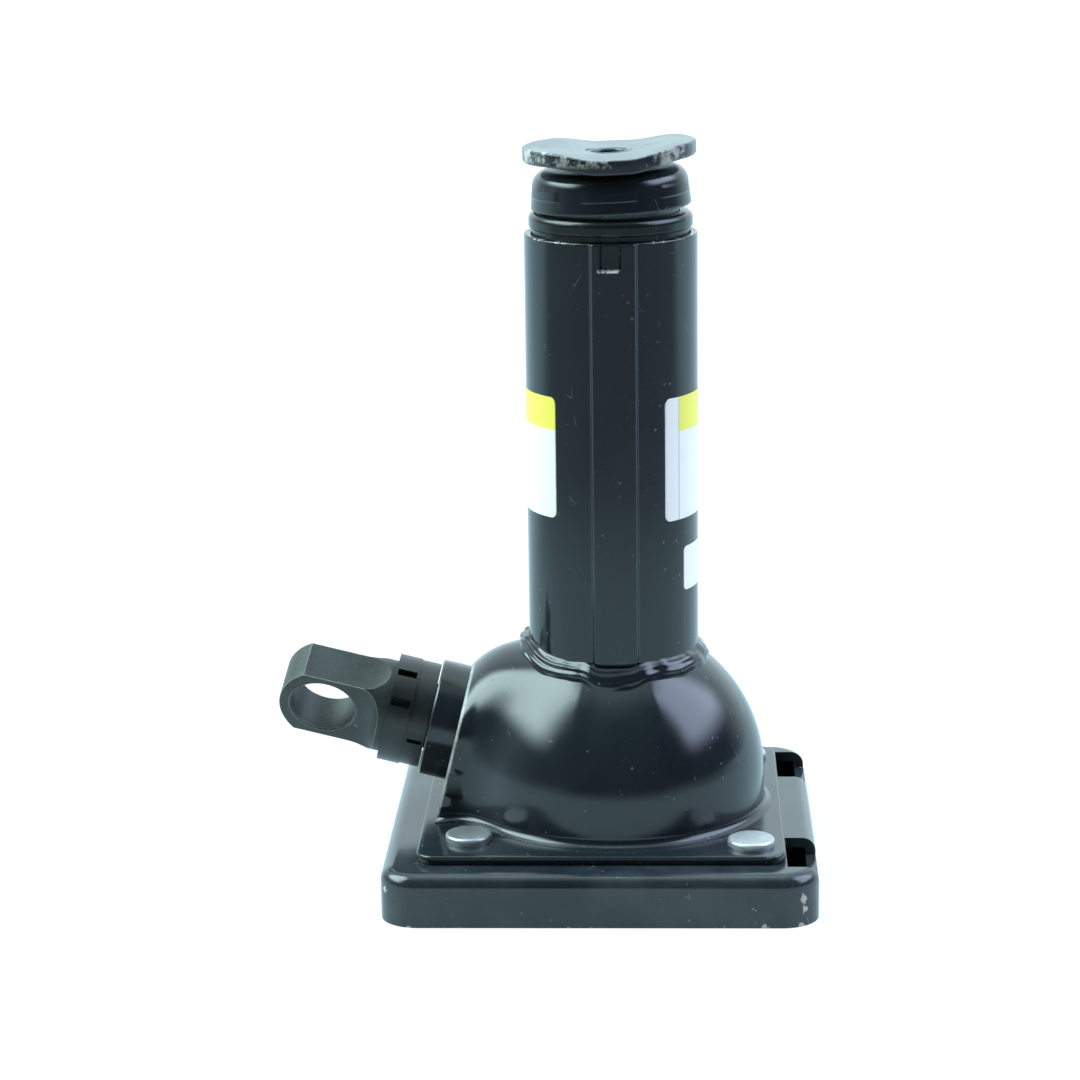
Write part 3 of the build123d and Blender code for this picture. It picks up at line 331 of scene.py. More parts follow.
# World: white for the camera, two big soft boxes at the sides, a bright back and a dark front
world = bpy.data.worlds.new("studio")
scene.world = world
world.use_nodes = True
skyTree = world.node_tree
skyTree.nodes.clear()
skyOut = skyTree.nodes.new("ShaderNodeOutputWorld")
skyCoord = skyTree.nodes.new("ShaderNodeTexCoord")
sky = Value(skyTree, skyCoord.outputs["Generated"])
dx, dy, dz = parts(sky)
azimuth = sky.maths("ARCTAN2", dx, -dy) * (180 / math.pi)
elevation = dz.maths("ARCSINE", dz) * (180 / math.pi)
aside = abs(azimuth)
leftBox = azimuth.rise(-130, -112) * azimuth.rise(-50, -78) * elevation.rise(18, 34) * elevation.rise(74, 60)
rightBox = azimuth.rise(58, 76) * azimuth.rise(134, 112) * elevation.rise(14, 30) * elevation.rise(72, 58)
surround = 0.03 + azimuth.rise(-55, -100) * 0.47 + azimuth.rise(100, 125) * 0.6 + aside.rise(112, 150) * 0.9
roof = elevation.rise(55, 85) * 1.2
glow = skyTree.nodes.new("ShaderNodeCombineXYZ")
boxLight = dict(left=(8.2, 10.8, 10.8), right=(4.4, 5.2, 6.9), rest=(0.8, 1.0, 1.08))
for channel, (left, right, rest) in enumerate(zip(boxLight["left"], boxLight["right"], boxLight["rest"])):
    level = leftBox * left + rightBox * right + (surround + roof) * rest
    skyTree.links.new(level.socket, glow.inputs[channel])
room = skyTree.nodes.new("ShaderNodeBackground")
skyTree.links.new(glow.outputs[0], room.inputs[0])
white = skyTree.nodes.new("ShaderNodeBackground")
white.inputs[0].default_value = rgb(1, 1, 1)
skyPath = skyTree.nodes.new("ShaderNodeLightPath")
skyMix = skyTree.nodes.new("ShaderNodeMixShader")
skyTree.links.new(skyPath.outputs["Is Camera Ray"], skyMix.inputs[0])
skyTree.links.new(room.outputs[0], skyMix.inputs[1])
skyTree.links.new(white.outputs[0], skyMix.inputs[2])
skyTree.links.new(skyMix.outputs[0], skyOut.inputs[0])

# Camera at the photograph's viewpoint
view = dict(x=0.01585, y=-0.93056, z=0.32938, down=13.88, turn=-2.32, roll=-0.77, focal=3206.26, pixels=1080,
            sensor=36.0)
down, turn, roll = (math.radians(view[k]) for k in ("down", "turn", "roll"))
ahead = Vector((math.sin(turn) * math.cos(down), math.cos(turn) * math.cos(down), -math.sin(down)))
level = Vector((math.cos(turn), -math.sin(turn), 0.0))
above = level.cross(ahead)
across = level * math.cos(roll) + above * math.sin(roll)
above = above * math.cos(roll) - level * math.sin(roll)
camera = bpy.data.objects.new("camera", bpy.data.cameras.new("camera"))
scene.collection.objects.link(camera)
camera.matrix_world = Matrix.Translation((view["x"], view["y"], view["z"])) @ Matrix(
    (across, above, -ahead)).transposed().to_4x4()
camera.data.sensor_width = view["sensor"]
camera.data.lens = view["focal"] * view["sensor"] / view["pixels"]
camera.data.clip_end = 20.0
scene.camera = camera


def addMesh(name, points, faces, material, body=None, smooth=True):
    mesh = bpy.data.meshes.new(name)
    mesh.from_pydata([tuple(p) for p in points], [], [tuple(f) for f in faces])
    if material:
        mesh.materials.append(material)
    if smooth:
        mesh.polygons.foreach_set("use_smooth", [True] * len(mesh.polygons))
    mesh.update()
    piece = bpy.data.objects.new(name, mesh)
    scene.collection.objects.link(piece)
    if body:
        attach(piece, body)
    return piece


# Floor: white near the jack, darker in reflections past the edge of the white sheet, and painted black under the
# tray, a painted shade seen through the base's slots
floorMaterial = bpy.data.materials.new("floor_white")
floorMaterial.use_nodes = True
floorTree = floorMaterial.node_tree
floorTree.nodes.clear()
floorOut = floorTree.nodes.new("ShaderNodeOutputMaterial")
floorCoord = floorTree.nodes.new("ShaderNodeTexCoord")
floorPlace = Value(floorTree, floorCoord.outputs["Object"])
floorX, floorY, floorZ = millimetres(floorPlace)
floorPath = floorTree.nodes.new("ShaderNodeLightPath")
seen = Value(floorTree, floorPath.outputs["Is Camera Ray"])
mirrored = Value(floorTree, floorPath.outputs["Is Glossy Ray"])
fromJack = (floorX * floorX + floorY * floorY) ** 0.5
sheet = fromJack.rise(620, 330).most(floorY.rise(-60, 260)) * 0.82 + 0.18
# The tray's footprint, inside which the floor is painted black as shade
tray = dict(centre=-3.8, straight=52.0, cornerIn=9.0, cornerOut=10.4)
cornerX = (abs(floorX - tray["centre"]) - tray["straight"]).most(0.0)
cornerY = (abs(floorY) - tray["straight"]).most(0.0)
outsidePaintedShade = ((cornerX * cornerX + cornerY * cornerY) ** 0.5).rise(tray["cornerIn"], tray["cornerOut"])
glowColour = floorTree.nodes.new("ShaderNodeCombineXYZ")
for channel, tint in enumerate((0.64, 1.0, 1.13)):
    reflected = sheet * outsidePaintedShade * (mirrored * (tint - 1.0) + 1.0) * 1.12
    floorTree.links.new((reflected * (1.0 - seen) + seen * outsidePaintedShade * 1.02).socket, glowColour.inputs[channel])
glowNode = floorTree.nodes.new("ShaderNodeEmission")
floorTree.links.new(glowColour.outputs[0], glowNode.inputs[0])
matt = floorTree.nodes.new("ShaderNodeBsdfDiffuse")
matt.inputs[0].default_value = rgb(0.9, 0.9, 0.9)
floorMix = floorTree.nodes.new("ShaderNodeMixShader")
floorMix.inputs[0].default_value = 0.84
floorTree.links.new(matt.outputs[0], floorMix.inputs[1])
floorTree.links.new(glowNode.outputs[0], floorMix.inputs[2])
floorTree.links.new(floorMix.outputs[0], floorOut.inputs[0])
reach = 6.0
floor = addMesh("floor", [(-reach, -reach, 0), (reach, -reach, 0), (reach, reach, 0), (-reach, reach, 0)],
                [(0, 1, 2, 3)], floorMaterial, smooth=False)
print("stage set")


# A grid of points, rows x columns x 3 in millimetres, becomes a mesh in metres
def gridFaces(rows, columns, loop):
    row, column = np.meshgrid(np.arange(rows - 1), np.arange(columns if loop else columns - 1), indexing="ij")
    nextColumn = (column + 1) % columns
    corners = (row * columns + column, row * columns + nextColumn,
               (row + 1) * columns + nextColumn, (row + 1) * columns + column)
    return np.stack(corners, -1).reshape(-1, 4)


def addGrid(name, grid, body, loop=True, flip=False, nodes=()):
    rows, columns = grid.shape[:2]
    faces = gridFaces(rows, columns, loop)
    if flip:
        faces = faces[:, ::-1]
    piece = addMesh(name, grid.reshape(-1, 3) / 1000.0, faces.tolist(), None, body)
    if nodes:
        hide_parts(*nodes)
    return piece


# 3t^2 - 2t^3, where t goes from 0 at low to 1 at high
def smoothStep(value, low, high):
    t = np.clip((value - low) / (high - low), 0.0, 1.0)
    return t * t * (3 - 2 * t)


# Pressed housing
housing = dict(dome=45.3, centre=27.5, tilt=14.0, shaft=30.5, mouth=48.9, arch=20.3, neck=17.9, roof=10.4,
               roofStart=20.0, roofPower=4.5, blend=9.5, foot=18.0, footRadius=2.6, sheet=2.6, hole=25.3, lip=1.0,
               pleat=0.9, sleeve=17.72, lipDepth=7.0)
tilt = math.radians(housing["tilt"])


# Place along the tilted shaft, from the axis of the column
def alongShaft(x, z):
    return (z - housing["shaft"]) * math.sin(tilt) - x * math.cos(tilt)


# Place along the shaft, and above it
def shaftPlace(x, z):
    return alongShaft(x, z), x * math.sin(tilt) + (z - housing["shaft"]) * math.cos(tilt)


# Distance to a dome, round above its centre and upright below, and to a snout, an arch on straight walls whose
# roof falls to the mouth. The smaller of the two counts, less overlap^2 / 4 where they differ by under `blend`.
def housingDistance(x, y, z):
    h = housing
    dome = np.sqrt(x ** 2 + y ** 2 + np.maximum(z - h["centre"], 0.0) ** 2) - h["dome"]
    along, up = shaftPlace(x, z)
    length = np.sqrt(y ** 2 + up ** 2) + 1e-9
    fall = np.clip((along - h["roofStart"]) / (h["mouth"] - h["roofStart"]), 0.0, 1.25) ** h["roofPower"]
    roofShare = 1.0 - np.abs(y / length) ** 4.5
    lip = h["lip"] * smoothStep(along, h["mouth"] - 4.2, h["mouth"] - 1.6)
    top = h["neck"] + h["roof"] * (1.0 - fall)
    arch = length - h["arch"] - lip * (1.0 - roofShare) - (top - h["arch"]) * roofShare
    wall = np.abs(y) - h["arch"] - lip
    snout = np.maximum(np.where(up > 0, arch, wall), -along - 5.0)
    snout = np.maximum(snout, along - 58.0)
    overlap = np.maximum(h["blend"] - np.abs(dome - snout), 0.0) / h["blend"]
    body = np.minimum(dome, snout) - overlap ** 2 * h["blend"] / 4
    drop = np.clip(h["foot"] + h["footRadius"] - z, 0.0, h["footRadius"])
    body = body - (h["footRadius"] - np.sqrt(h["footRadius"] ** 2 - drop ** 2 + 1e-9))
    # under the key rib the dome is drawn in a little, in a panel that widens and dies out downwards
    turn = math.radians(tube["ribTurn"])
    ribX = x * math.cos(turn) + y * math.sin(turn)
    halfWidth = 7.4 + np.maximum(64.0 - z, 0.0) * 0.3
    pleat = (1 - smoothStep(np.abs(ribX), halfWidth - 4.5, halfWidth + 2.5)) * (y < 0)
    pleat = pleat * smoothStep(z, 30.0, 58.0)
    return body + h["pleat"] * pleat


# Rays from a point inside: where the distance falls to nought, by halving the interval
def housingRays(azimuth, polar):
    start = (0.0, 0.0, 22.0)
    direction = (np.cos(azimuth) * np.sin(polar), np.sin(azimuth) * np.sin(polar), np.cos(polar))
    near = np.full(np.broadcast(azimuth, polar).shape, 5.0)
    far = np.full_like(near, 110.0)
    for _ in range(34):
        middle = (near + far) / 2
        outside = housingDistance(*(start[i] + direction[i] * middle for i in range(3))) > 0
        far = np.where(outside, middle, far)
        near = np.where(outside, near, middle)
    return np.stack([start[i] + direction[i] * near for i in range(3)], -1)


# The angle from the top, on each azimuth, past which `tooFar` holds
def polarWhere(azimuth, low, high, tooFar):
    low = np.full_like(azimuth, low)
    high = np.full_like(azimuth, high)
    for _ in range(34):
        middle = (low + high) / 2
        past = tooFar(housingRays(azimuth, middle))
        high = np.where(past, middle, high)
        low = np.where(past, low, middle)
    return low


turns = np.radians(np.linspace(0, 360, 340, endpoint=False))
holeAngle = polarWhere(turns, 0.02, 1.5, lambda q: np.hypot(q[..., 0], q[..., 1]) > housing["hole"])
footAngle = polarWhere(turns, 1.2, 3.0, lambda q: q[..., 2] < housing["foot"] + 0.004)
share = np.linspace(0, 1, 120)[:, None]
shell = housingRays(turns[None, :], holeAngle[None, :] * (1 - share) + footAngle[None, :] * share)
housingShell = addGrid("housing_shell", shell, "base", flip=True)
bmeshShell = bmesh.new()
bmeshShell.from_mesh(housingShell.data)
cutPoint = Vector((-housing["mouth"] * math.cos(tilt), 0, housing["shaft"] + housing["mouth"] * math.sin(tilt)))
bmesh.ops.bisect_plane(bmeshShell, geom=bmeshShell.verts[:] + bmeshShell.edges[:] + bmeshShell.faces[:],
                       plane_co=[c / 1000 for c in cutPoint], plane_no=(-math.cos(tilt), 0, math.sin(tilt)),
                       clear_outer=True)


# How far a corner of the mesh lies inside the plane of the mouth
def behindMouth(corner):
    return housing["mouth"] - alongShaft(corner.co.x * 1000, corner.co.z * 1000)


def mouthEdges():
    found = []
    for edge in bmeshShell.edges:
        if edge.is_boundary and all(abs(behindMouth(corner)) < onPlane for corner in edge.verts):
            if all(corner.co.z > 0.0181 for corner in edge.verts):
                found.append(edge)
    return found


# New corners go inwards, square to the shaft but not past the sleeve, and then along the shaft
def moveNew(made, shift):
    for corner in [piece for piece in made["geom"] if isinstance(piece, bmesh.types.BMVert)]:
        x, y, z = corner.co * 1000
        side, lift = y, max(shaftPlace(x, z)[1], 0.0)
        size = math.hypot(side, lift) + 1e-9
        inward = min(shift[1], max(size - housing["sleeve"], 0.05)) if shift[1] else 0.0
        side, lift = side * (1 - inward / size), -lift * inward / size
        corner.co = Vector((x - shift[0] * math.cos(tilt) + lift * math.sin(tilt), side,
                            z + shift[0] * math.sin(tilt) + lift * math.cos(tilt))) / 1000


# Corners just behind the cut go into their nearest corner on it
onPlane = 0.02
onCut = [corner for corner in bmeshShell.verts if abs(behindMouth(corner)) < onPlane]
targets = {}
for corner in bmeshShell.verts:
    if onPlane <= behindMouth(corner) < 0.28:
        nearest = min(onCut, key=lambda other: (other.co - corner.co).length)
        if (nearest.co - corner.co).length < 0.00045:
            targets[corner] = nearest
bmesh.ops.weld_verts(bmeshShell, targetmap=targets)
bmesh.ops.dissolve_degenerate(bmeshShell, dist=1e-6, edges=bmeshShell.edges[:])

# The cut edge goes in by one sheet in the plane of the mouth, and then back into the snout
lipEdges = mouthEdges()
for shift in ((0.0, housing["sheet"]), (-housing["lipDepth"], 0.0)):
    made = bmesh.ops.extrude_edge_only(bmeshShell, edges=lipEdges)
    moveNew(made, shift)
    lipEdges = [piece for piece in made["geom"] if isinstance(piece, bmesh.types.BMEdge)]
for edge in mouthEdges():
    edge.smooth = False
bmeshShell.normal_update()
bmeshShell.to_mesh(housingShell.data)
bmeshShell.free()


# Closed loop of a rounded rectangle: four quarter circles of radius corner - inset about the corner centres
def roundedLoop(left, right, half, corner, inset, count=24):
    angles = np.radians(np.linspace(0, 90, count))
    radius = max(corner - inset, 0.05)
    loops = []
    for quarter, (cx, cy) in enumerate(((right - corner, half - corner), (left + corner, half - corner),
                                        (left + corner, corner - half), (right - corner, corner - half))):
        swing = angles + quarter * math.pi / 2
        shift = max(inset - corner + 0.05, 0.0)
        loops.append(np.stack([cx - math.copysign(shift, cx) + radius * np.cos(swing),
                               cy - math.copysign(shift, cy) + radius * np.sin(swing)], -1))
    return np.concatenate(loops)


flange = dict(left=-57.2, right=50.2, half=53.3, corner=6.0, top=18.0, bottom=15.42, edge=0.7, inside=22.0)


# Flange: the same loop at each step of a profile of inset and height, which runs from under the dome over the
# rounded edge and back
def flangeGrid():
    f = flange
    bend = np.radians(np.linspace(0, 90, 6))
    steps = [(f["inside"], f["bottom"])] + [(i, f["top"]) for i in (f["inside"], 16.0, 10.0, 5.0, 2.0)]
    steps += [(f["edge"] * (1 - math.sin(a)), f["top"] - f["edge"] * (1 - math.cos(a))) for a in bend]
    steps += [(0.0, f["bottom"] + 0.3), (0.3, f["bottom"]), (f["inside"], f["bottom"])]
    rows = []
    for inset, height in steps:
        loop = roundedLoop(f["left"], f["right"], f["half"], f["corner"], inset)
        rows.append(np.column_stack([loop, np.full(len(loop), height)]))
    return np.array(rows)


housingFlange = addGrid("housing_flange", flangeGrid(), "base", flip=True)
print("housing made")


# Outer tube: radius = tube + rib - inset - lanced stop, over angle and height. The rib is pressed outwards and
# ends above the foot, and the stop is a rounded patch pressed in at the mouth.
def tubeGrid():
    t = dict(tube, wall=2.0, lip=0.5, notchHalf=2.8, notchHeight=7.6, notchDepth=1.9, notchShift=-0.8)
    ribAngle = -math.pi / 2 + math.radians(t["ribTurn"])
    fine = np.radians(np.concatenate([np.arange(-22, 22, 0.25), np.arange(22, 338, 1.5)]))
    angles = fine + ribAngle
    sideways = t["radius"] * np.sin(fine) * (np.cos(fine) > 0) + 99 * (np.cos(fine) <= 0)
    bend = np.radians(np.linspace(0, 90, 7))
    outer = [(z, 0.0) for z in np.concatenate([np.linspace(t["foot"], 72, 26), np.linspace(74, 182, 40),
                                                np.linspace(183, t["top"] - t["lip"], 50)])]
    outer += [(t["top"] - t["lip"] * (1 - math.sin(a)), t["lip"] * (1 - math.cos(a))) for a in bend[1:]]
    inner = [(t["top"], t["wall"] - 0.3), (t["top"] - 0.3, t["wall"])]
    inner += [(z, t["wall"]) for z in np.linspace(t["top"] - 2, t["foot"], 30)]
    height, inset = np.array(outer + inner).T[:, :, None]
    side = sideways[None, :]
    foot = smoothStep(height, t["ribFoot"] - 1.4, t["ribFoot"] + 2.2)
    rib = t["ribProud"] * (1 - smoothStep(np.abs(side), t["ribWidth"] / 2 - 1.1, t["ribWidth"] / 2 + 0.5)) * foot
    across = np.abs(side - t["notchShift"])
    down = t["top"] - height
    corner = np.hypot(np.maximum(across - t["notchHalf"] + 1.2, 0), np.maximum(down - t["notchHeight"] + 1.2, 0))
    lanced = t["notchDepth"] * (1 - smoothStep(corner, 0.95, 1.45)) * (inset < t["wall"] - 0.4)
    radius = t["radius"] + rib - inset - lanced
    return np.stack([radius * np.cos(angles), radius * np.sin(angles), height + 0 * radius], -1)


outerTube = addGrid("tube_skin", tubeGrid(), "base", nodes=("outer_tube",))


# Weld: a bead between tube and dome, in section a quarter curve (cos^0.8, sin^0.75) that grows and shrinks with
# slow waves, with ridges that run along it. It stands on the dome, whose height is found by halving.
def weldGrid():
    w = dict(radius=25.2, reach=3.3, rise=3.4, ridges=3, ridgeHeight=0.1, ribHalf=0.2, ribEnd=0.42, ribReach=1.0,
             ribRise=3.9, sink=0.3)
    around = np.linspace(0, 2 * math.pi, 1400, endpoint=False)[None, :]
    part = np.linspace(0, 1, 34)[:, None]
    side = np.abs((around - 1.5 * math.pi - math.radians(tube["ribTurn"]) + math.pi) % (2 * math.pi) - math.pi)
    underRib = 1 - smoothStep(side, w["ribHalf"], w["ribEnd"])
    rightSide = smoothStep(np.cos(around + 0.6), -0.2, 0.5)
    drift = 0.6 * np.sin(around * 3 + 0.8) + 0.35 * np.sin(around * 8 + 2.1)
    ridges = np.cos((part * w["ridges"] + drift * 0.3) * 2 * math.pi) * w["ridgeHeight"] * (1 - 0.75 * rightSide)
    lumps = 0.03 * np.sin(around * 7 + 0.5) + 0.018 * np.sin(around * 15 + part * 4) + 0.006 * np.sin(around * 31)
    size = 1 + (ridges + lumps) * np.sin(part * math.pi) ** 0.4
    bulge = part * math.pi / 2
    out = w["radius"] + w["reach"] * (1 + lumps * 1.5) * np.cos(bulge) ** 0.8 * size + underRib * w["ribReach"]
    x, y = out * np.cos(around), out * np.sin(around)
    low = np.full_like(x, 45.0)
    high = np.full_like(x, 85.0)
    for _ in range(24):
        middle = (low + high) / 2
        outside = housingDistance(x, y, middle) > 0
        high = np.where(outside, middle, high)
        low = np.where(outside, low, middle)
    rise = (w["rise"] + lumps * 6) * (1 - underRib) + w["ribRise"] * underRib
    z = low - w["sink"] + rise * np.sin(bulge) ** 0.75 * size
    return np.stack([x, y, z], -1)


weldBead = addGrid("weld_bead", weldGrid(), "base", nodes=("tube_weld",))
print("tube and weld made")

# Blank stickers wrapped round the tube, with angles from the front
labels = dict(
    left_label=dict(start=-128.0, end=-39.2, low=110.6, high=146.5, corner=2.0),
    right_label=dict(start=37.9, end=126.0, low=109.3, high=145.9, corner=2.0),
    small_label=dict(start=55.6, end=112.0, low=87.3, high=100.6, corner=1.6))


# A patch of the cylinder: at each height its ends draw in by corner - sqrt(corner^2 - d^2), d being how far the
# height reaches into the corner. A rim goes back to the tube on all four sides.
def labelGrid(start, end, low, high, corner, radius=25.5, thick=0.08):
    bend = corner * (1 - np.cos(np.radians(np.linspace(0, 90, 9))))
    heights = np.concatenate([low + bend, np.linspace(low + corner, high - corner, 30)[1:-1], high - bend[::-1]])
    toEdge = np.minimum(heights - low, high - heights)
    cut = corner - np.sqrt(np.maximum(corner ** 2 - np.maximum(corner - toEdge, 0.0) ** 2, 0.0))
    cut = np.degrees(cut / radius)[:, None]
    share = np.linspace(0, 1, 90)[None, :]
    angles = (start + cut) * (1 - share) + (end - cut) * share
    z = np.broadcast_to(heights[:, None], angles.shape)
    grid = np.stack([angles, z, np.full(angles.shape, radius)], -1)
    edge = grid.copy()
    edge[..., 2] = radius - thick
    grid = np.concatenate([edge[:1], grid, edge[-1:]])
    grid = np.concatenate([grid[:, :1], grid, grid[:, -1:]], 1)
    grid[:, 0, 2] = grid[:, -1, 2] = radius - thick
    turn = np.radians(grid[..., 0])
    return np.stack([grid[..., 2] * np.sin(turn), -grid[..., 2] * np.cos(turn), grid[..., 1]], -1)


stickers = [addGrid(name, labelGrid(**size), "base", loop=False) for name, size in labels.items()]


head = dict(lean=2.2, pivot=205.0)


# The head leans: x and z turn by `lean` about a point on the column at `pivot`
def leaned(x, y, z):
    lean = math.radians(head["lean"])
    z = z - head["pivot"]
    return np.stack([x * math.cos(lean) - z * math.sin(lean), y + 0 * z,
                     x * math.sin(lean) + z * math.cos(lean) + head["pivot"]], -1)


# Dust cap: a turned profile whose radius grows by `padProud` in six pads, and shrinks in a few nicks. Outside from
# the foot up, over the round shoulder to the hole, and back inside.
def capGrid():
    c = dict(foot=199.6, top=211.0, radius=23.5, taper=1.2, wall=2.0, shoulder=4.8, hole=7.0, padFoot=203.7,
             padHeight=2.7, padProud=0.28, padTurn=41.0)
    bend = np.radians(np.linspace(0, 90, 14))
    slope = c["taper"] / (c["top"] - c["foot"])
    wallTop = c["top"] - c["shoulder"]
    heights = np.concatenate([np.linspace(c["foot"] + 0.4, c["padFoot"] - 0.5, 8),
                              np.linspace(c["padFoot"] - 0.4, c["padFoot"] + c["padHeight"] + 0.4, 30)])
    heights = heights[heights < wallTop]
    outer = [(c["radius"] - 0.4, c["foot"])] + [(c["radius"] - slope * (z - c["foot"]), z) for z in heights]
    edgeRadius = c["radius"] - slope * (wallTop - c["foot"])
    outer += [(edgeRadius - c["shoulder"] * (1 - math.cos(a)), wallTop + c["shoulder"] * math.sin(a)) for a in bend]
    outer += [(14.0, c["top"]), (c["hole"] + 0.3, c["top"]), (c["hole"], c["top"] - 0.3)]
    inner = [(c["hole"], c["top"] - c["wall"]), (edgeRadius - c["shoulder"], c["top"] - c["wall"])]
    inner += [(edgeRadius - c["wall"] - 2.4 * (1 - math.sin(a)), c["top"] - c["wall"] - 2.4 * (1 - math.cos(a)))
              for a in bend[1::3]]
    inner += [(c["radius"] - c["wall"], c["foot"]), (c["radius"] - 0.4, c["foot"])]
    radius, z = np.array(outer + inner).T[:, :, None]
    turn = np.linspace(0, 360, 720, endpoint=False)[None, :]
    toPad = np.abs((turn + 90 + 30) % 60 - 30)
    inPad = 1 - smoothStep(toPad, c["padTurn"] / 2 - 4.5, c["padTurn"] / 2 + 1.5)
    inBand = smoothStep(z, c["padFoot"] - 0.35, c["padFoot"]) * (1 - smoothStep(
        z, c["padFoot"] + c["padHeight"], c["padFoot"] + c["padHeight"] + 0.35))
    outside = (np.arange(len(radius)) < len(outer) - 3)[:, None]
    nick = sum(1 - smoothStep(np.abs((turn - 270 - at + 180) % 360 - 180), 0.5, 1.2) for at in (79, -82, 180))
    nick = nick * inBand * 0.6
    radius = radius + (inPad * inBand * c["padProud"] - nick) * outside
    x, y = radius * np.cos(np.radians(turn)), radius * np.sin(np.radians(turn))
    return leaned(x, y, z + 0 * x)


dustCap = addGrid("cap_skin", capGrid(), "lift", nodes=("dust_cap",))


# Saddle: a turned disc with a rounded, slightly uneven rim, raised by dip * smoothStep(|x - middle|), so that it
# dips in the middle and is level at both ends
def saddleGrid():
    d = dict(foot=211.4, thick=4.3, radius=25.3, edge=0.8, dip=2.3, middle=1.8, level=4.0, end=20.0, hole=6.65)
    bend = np.radians(np.linspace(0, 90, 6))
    profile = [(d["hole"], 0.2), (d["hole"], d["thick"] - 0.15), (d["hole"] + 0.15, d["thick"])]
    profile += [(r, d["thick"]) for r in np.linspace(7.2, d["radius"] - d["edge"], 24)]
    outside, edge = d["radius"], d["edge"]
    profile += [(outside - edge * (1 - math.sin(a)), d["thick"] - edge * (1 - math.cos(a))) for a in bend]
    profile += [(outside - edge * (1 - math.cos(a)), edge * (1 - math.sin(a))) for a in bend]
    profile += [(r, 0.0) for r in np.linspace(outside - edge, 9, 16)] + [(d["hole"], 0.2)]
    radius, height = np.array(profile).T[:, :, None]
    turn = np.radians(np.linspace(0, 360, 420, endpoint=False))[None, :]
    wobble = 0.12 * np.sin(turn * 5 + 1.0) + 0.08 * np.sin(turn * 13)
    radius = radius + wobble * smoothStep(radius, 22.0, d["radius"])
    x, y = radius * np.cos(turn), radius * np.sin(turn)
    z = d["foot"] + height + d["dip"] * smoothStep(np.abs(x - d["middle"]), d["level"], d["end"])
    return leaned(x, y, z)


saddlePlate = addGrid("saddle_plate", saddleGrid(), "saddle_body", flip=True, nodes=("saddle",))


# Hollow rivet in the middle of the saddle: a turned profile of radius and height, its lip level with the dip
def rivetGrid():
    r = dict(hole=5.0, shank=6.6, head=9.2, foot=198.2, shoulder=199.8, top=215.8)
    profile = [(r["hole"], r["foot"]), (r["hole"], r["top"] - 0.9), (r["hole"] + 0.2, r["top"] - 0.4),
               (r["hole"] + 0.8, r["top"]), (r["shank"] - 0.1, r["top"]), (r["shank"], r["top"] - 0.1),
               (r["shank"], r["shoulder"] + 0.1), (r["head"], r["shoulder"]), (r["head"], r["foot"] + 0.1),
               (r["hole"], r["foot"])]
    radius, z = np.array(profile).T[:, :, None]
    turn = np.radians(np.linspace(0, 360, 160, endpoint=False))[None, :]
    return leaned(radius * np.cos(turn), radius * np.sin(turn), z + 0 * turn)


saddleRivet = addGrid("saddle_rivet_skin", rivetGrid(), "lift", flip=True, nodes=("saddle_rivet",))
print("labels and head made")

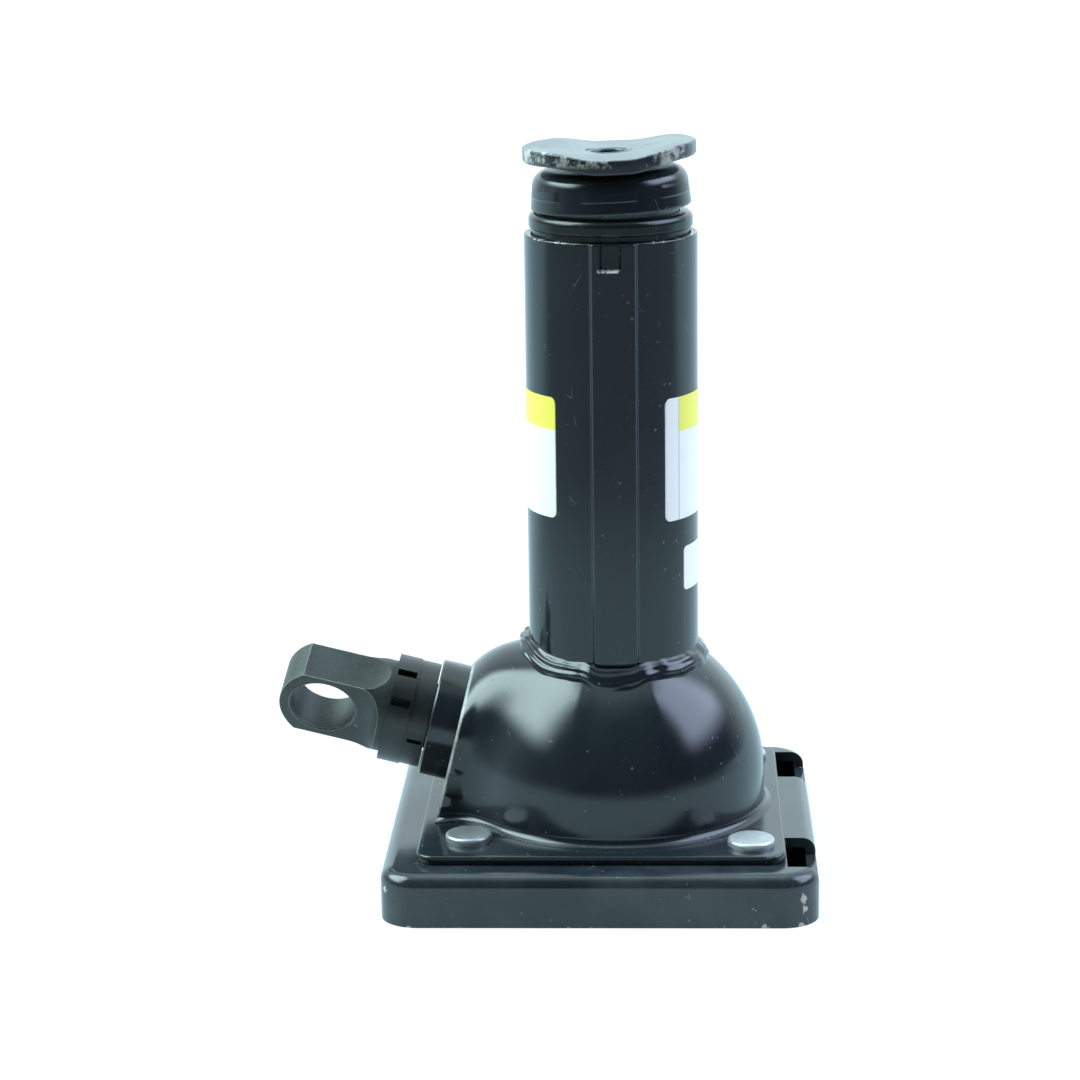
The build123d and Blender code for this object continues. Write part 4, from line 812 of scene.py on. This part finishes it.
# Finishes, and which piece wears which
finishes = dict(
    basePaint=paint("base_paint", dust=0.07, gloss=0.1, wear=0.35, wearSize=0.0012, hair=0.35, knocks=(
        ((-65.7, -58.2, 10.2), 0.8), ((55.2, -61.4, 8.4), 1.0), ((55.6, -61.0, 5.0), 0.8),
        ((43.6, -63.5, 0.3), 0.6), ((54.3, -62.0, 0.4), 0.9))),
    # The housing paint carries a painted highlight along the lip of the snout
    housingPaint=paint("housing_paint", dust=0.01, gloss=0.13, wear=0.15, bareAndHighlight=lipPaintedHighlight),
    tubePaint=paint("tube_paint", dust=0.004, gloss=0.09, bareAndHighlight=rimTear, hair=0.2, tint=(0.0045, 0.008, 0.0115)),
    capPaint=paint("cap_paint", dust=0.008, gloss=0.16, wear=0.2),
    # top=0.38 paints the saddle's upward faces lighter, a painted reflection
    saddlePaint=paint("saddle_paint", dust=0.1, gloss=0.24, bareAndHighlight=saddleWear, top=0.38),
    weldPaint=paint("weld_paint", dust=0.02, gloss=0.07),
    sleevePaint=paint("sleeve_paint", dust=0.02, gloss=0.12, hair=0.4, mattEnd=True),
    rivetZinc=metal("rivet_zinc", (0.62, 0.65, 0.66), 0.34, metallic=0.75, scratch=0.5, wear=0.5),
    eyeSteel=metal("eye_steel", (0.05, 0.062, 0.058), 0.4, metallic=0.4, scratch=0.6, spots=0.6, wear=0.45),
    ringSteel=metal("ring_steel", (0.04, 0.048, 0.05), 0.14, metallic=0.6, scratch=0.2),
    liftSteel=metal("lift_steel", (0.2, 0.23, 0.24), 0.3, scratch=0.2),
    gearSteel=metal("gear_steel", (0.35, 0.36, 0.37), 0.28),
    screwSteel=metal("screw_steel", (0.4, 0.41, 0.42), 0.25),
    brass=metal("brass", (0.55, 0.42, 0.18), 0.28),
    collarPlastic=plastic("collar_plastic", (0.011, 0.014, 0.0145), 0.3),
    leftPaper=paper("left_paper", 136.9, None),
    rightPaper=paper("right_paper", 135.6, 50.9, 50.6),
    smallPaper=paper("small_paper", 150.0, None),
)
wears = dict(
    base_plate="basePaint", gear_housing="housingPaint", base_rivets="rivetZinc", outer_tube="tubePaint",
    tube_weld="weldPaint", bearing_sleeve="sleevePaint", pinion_washer="gearSteel", lower_washer="gearSteel",
    thrust_balls="gearSteel", ball_cage="brass", pilot_bush="brass", drive_eye="eyeSteel",
    bevel_pinion="gearSteel", pinion_clip="gearSteel", clip_collar="collarPlastic", bevel_gear="gearSteel",
    drive_screw="screwSteel", gear_pin="gearSteel", upper_washer="gearSteel", screw_stop="screwSteel",
    guide_tube="ringSteel", guide_key="ringSteel", lift_screw="screwSteel", screw_circlip="screwSteel",
    lift_tube="liftSteel", lift_nut="brass", head_plug="liftSteel", dust_cap="capPaint",
    saddle="saddlePaint", saddle_rivet="liftSteel")
for name, finish in wears.items():
    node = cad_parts[name]
    node.data.materials.clear()
    node.data.materials.append(finishes[finish])
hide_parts("gear_housing")
dressed = {housingShell: "housingPaint", housingFlange: "housingPaint", outerTube: "tubePaint",
           weldBead: "weldPaint", dustCap: "capPaint", saddlePlate: "saddlePaint", saddleRivet: "saddlePaint",
           stickers[0]: "leftPaper", stickers[1]: "rightPaper", stickers[2]: "smallPaper"}
for piece, finish in dressed.items():
    piece.data.materials.append(finishes[finish])
print("materials done")
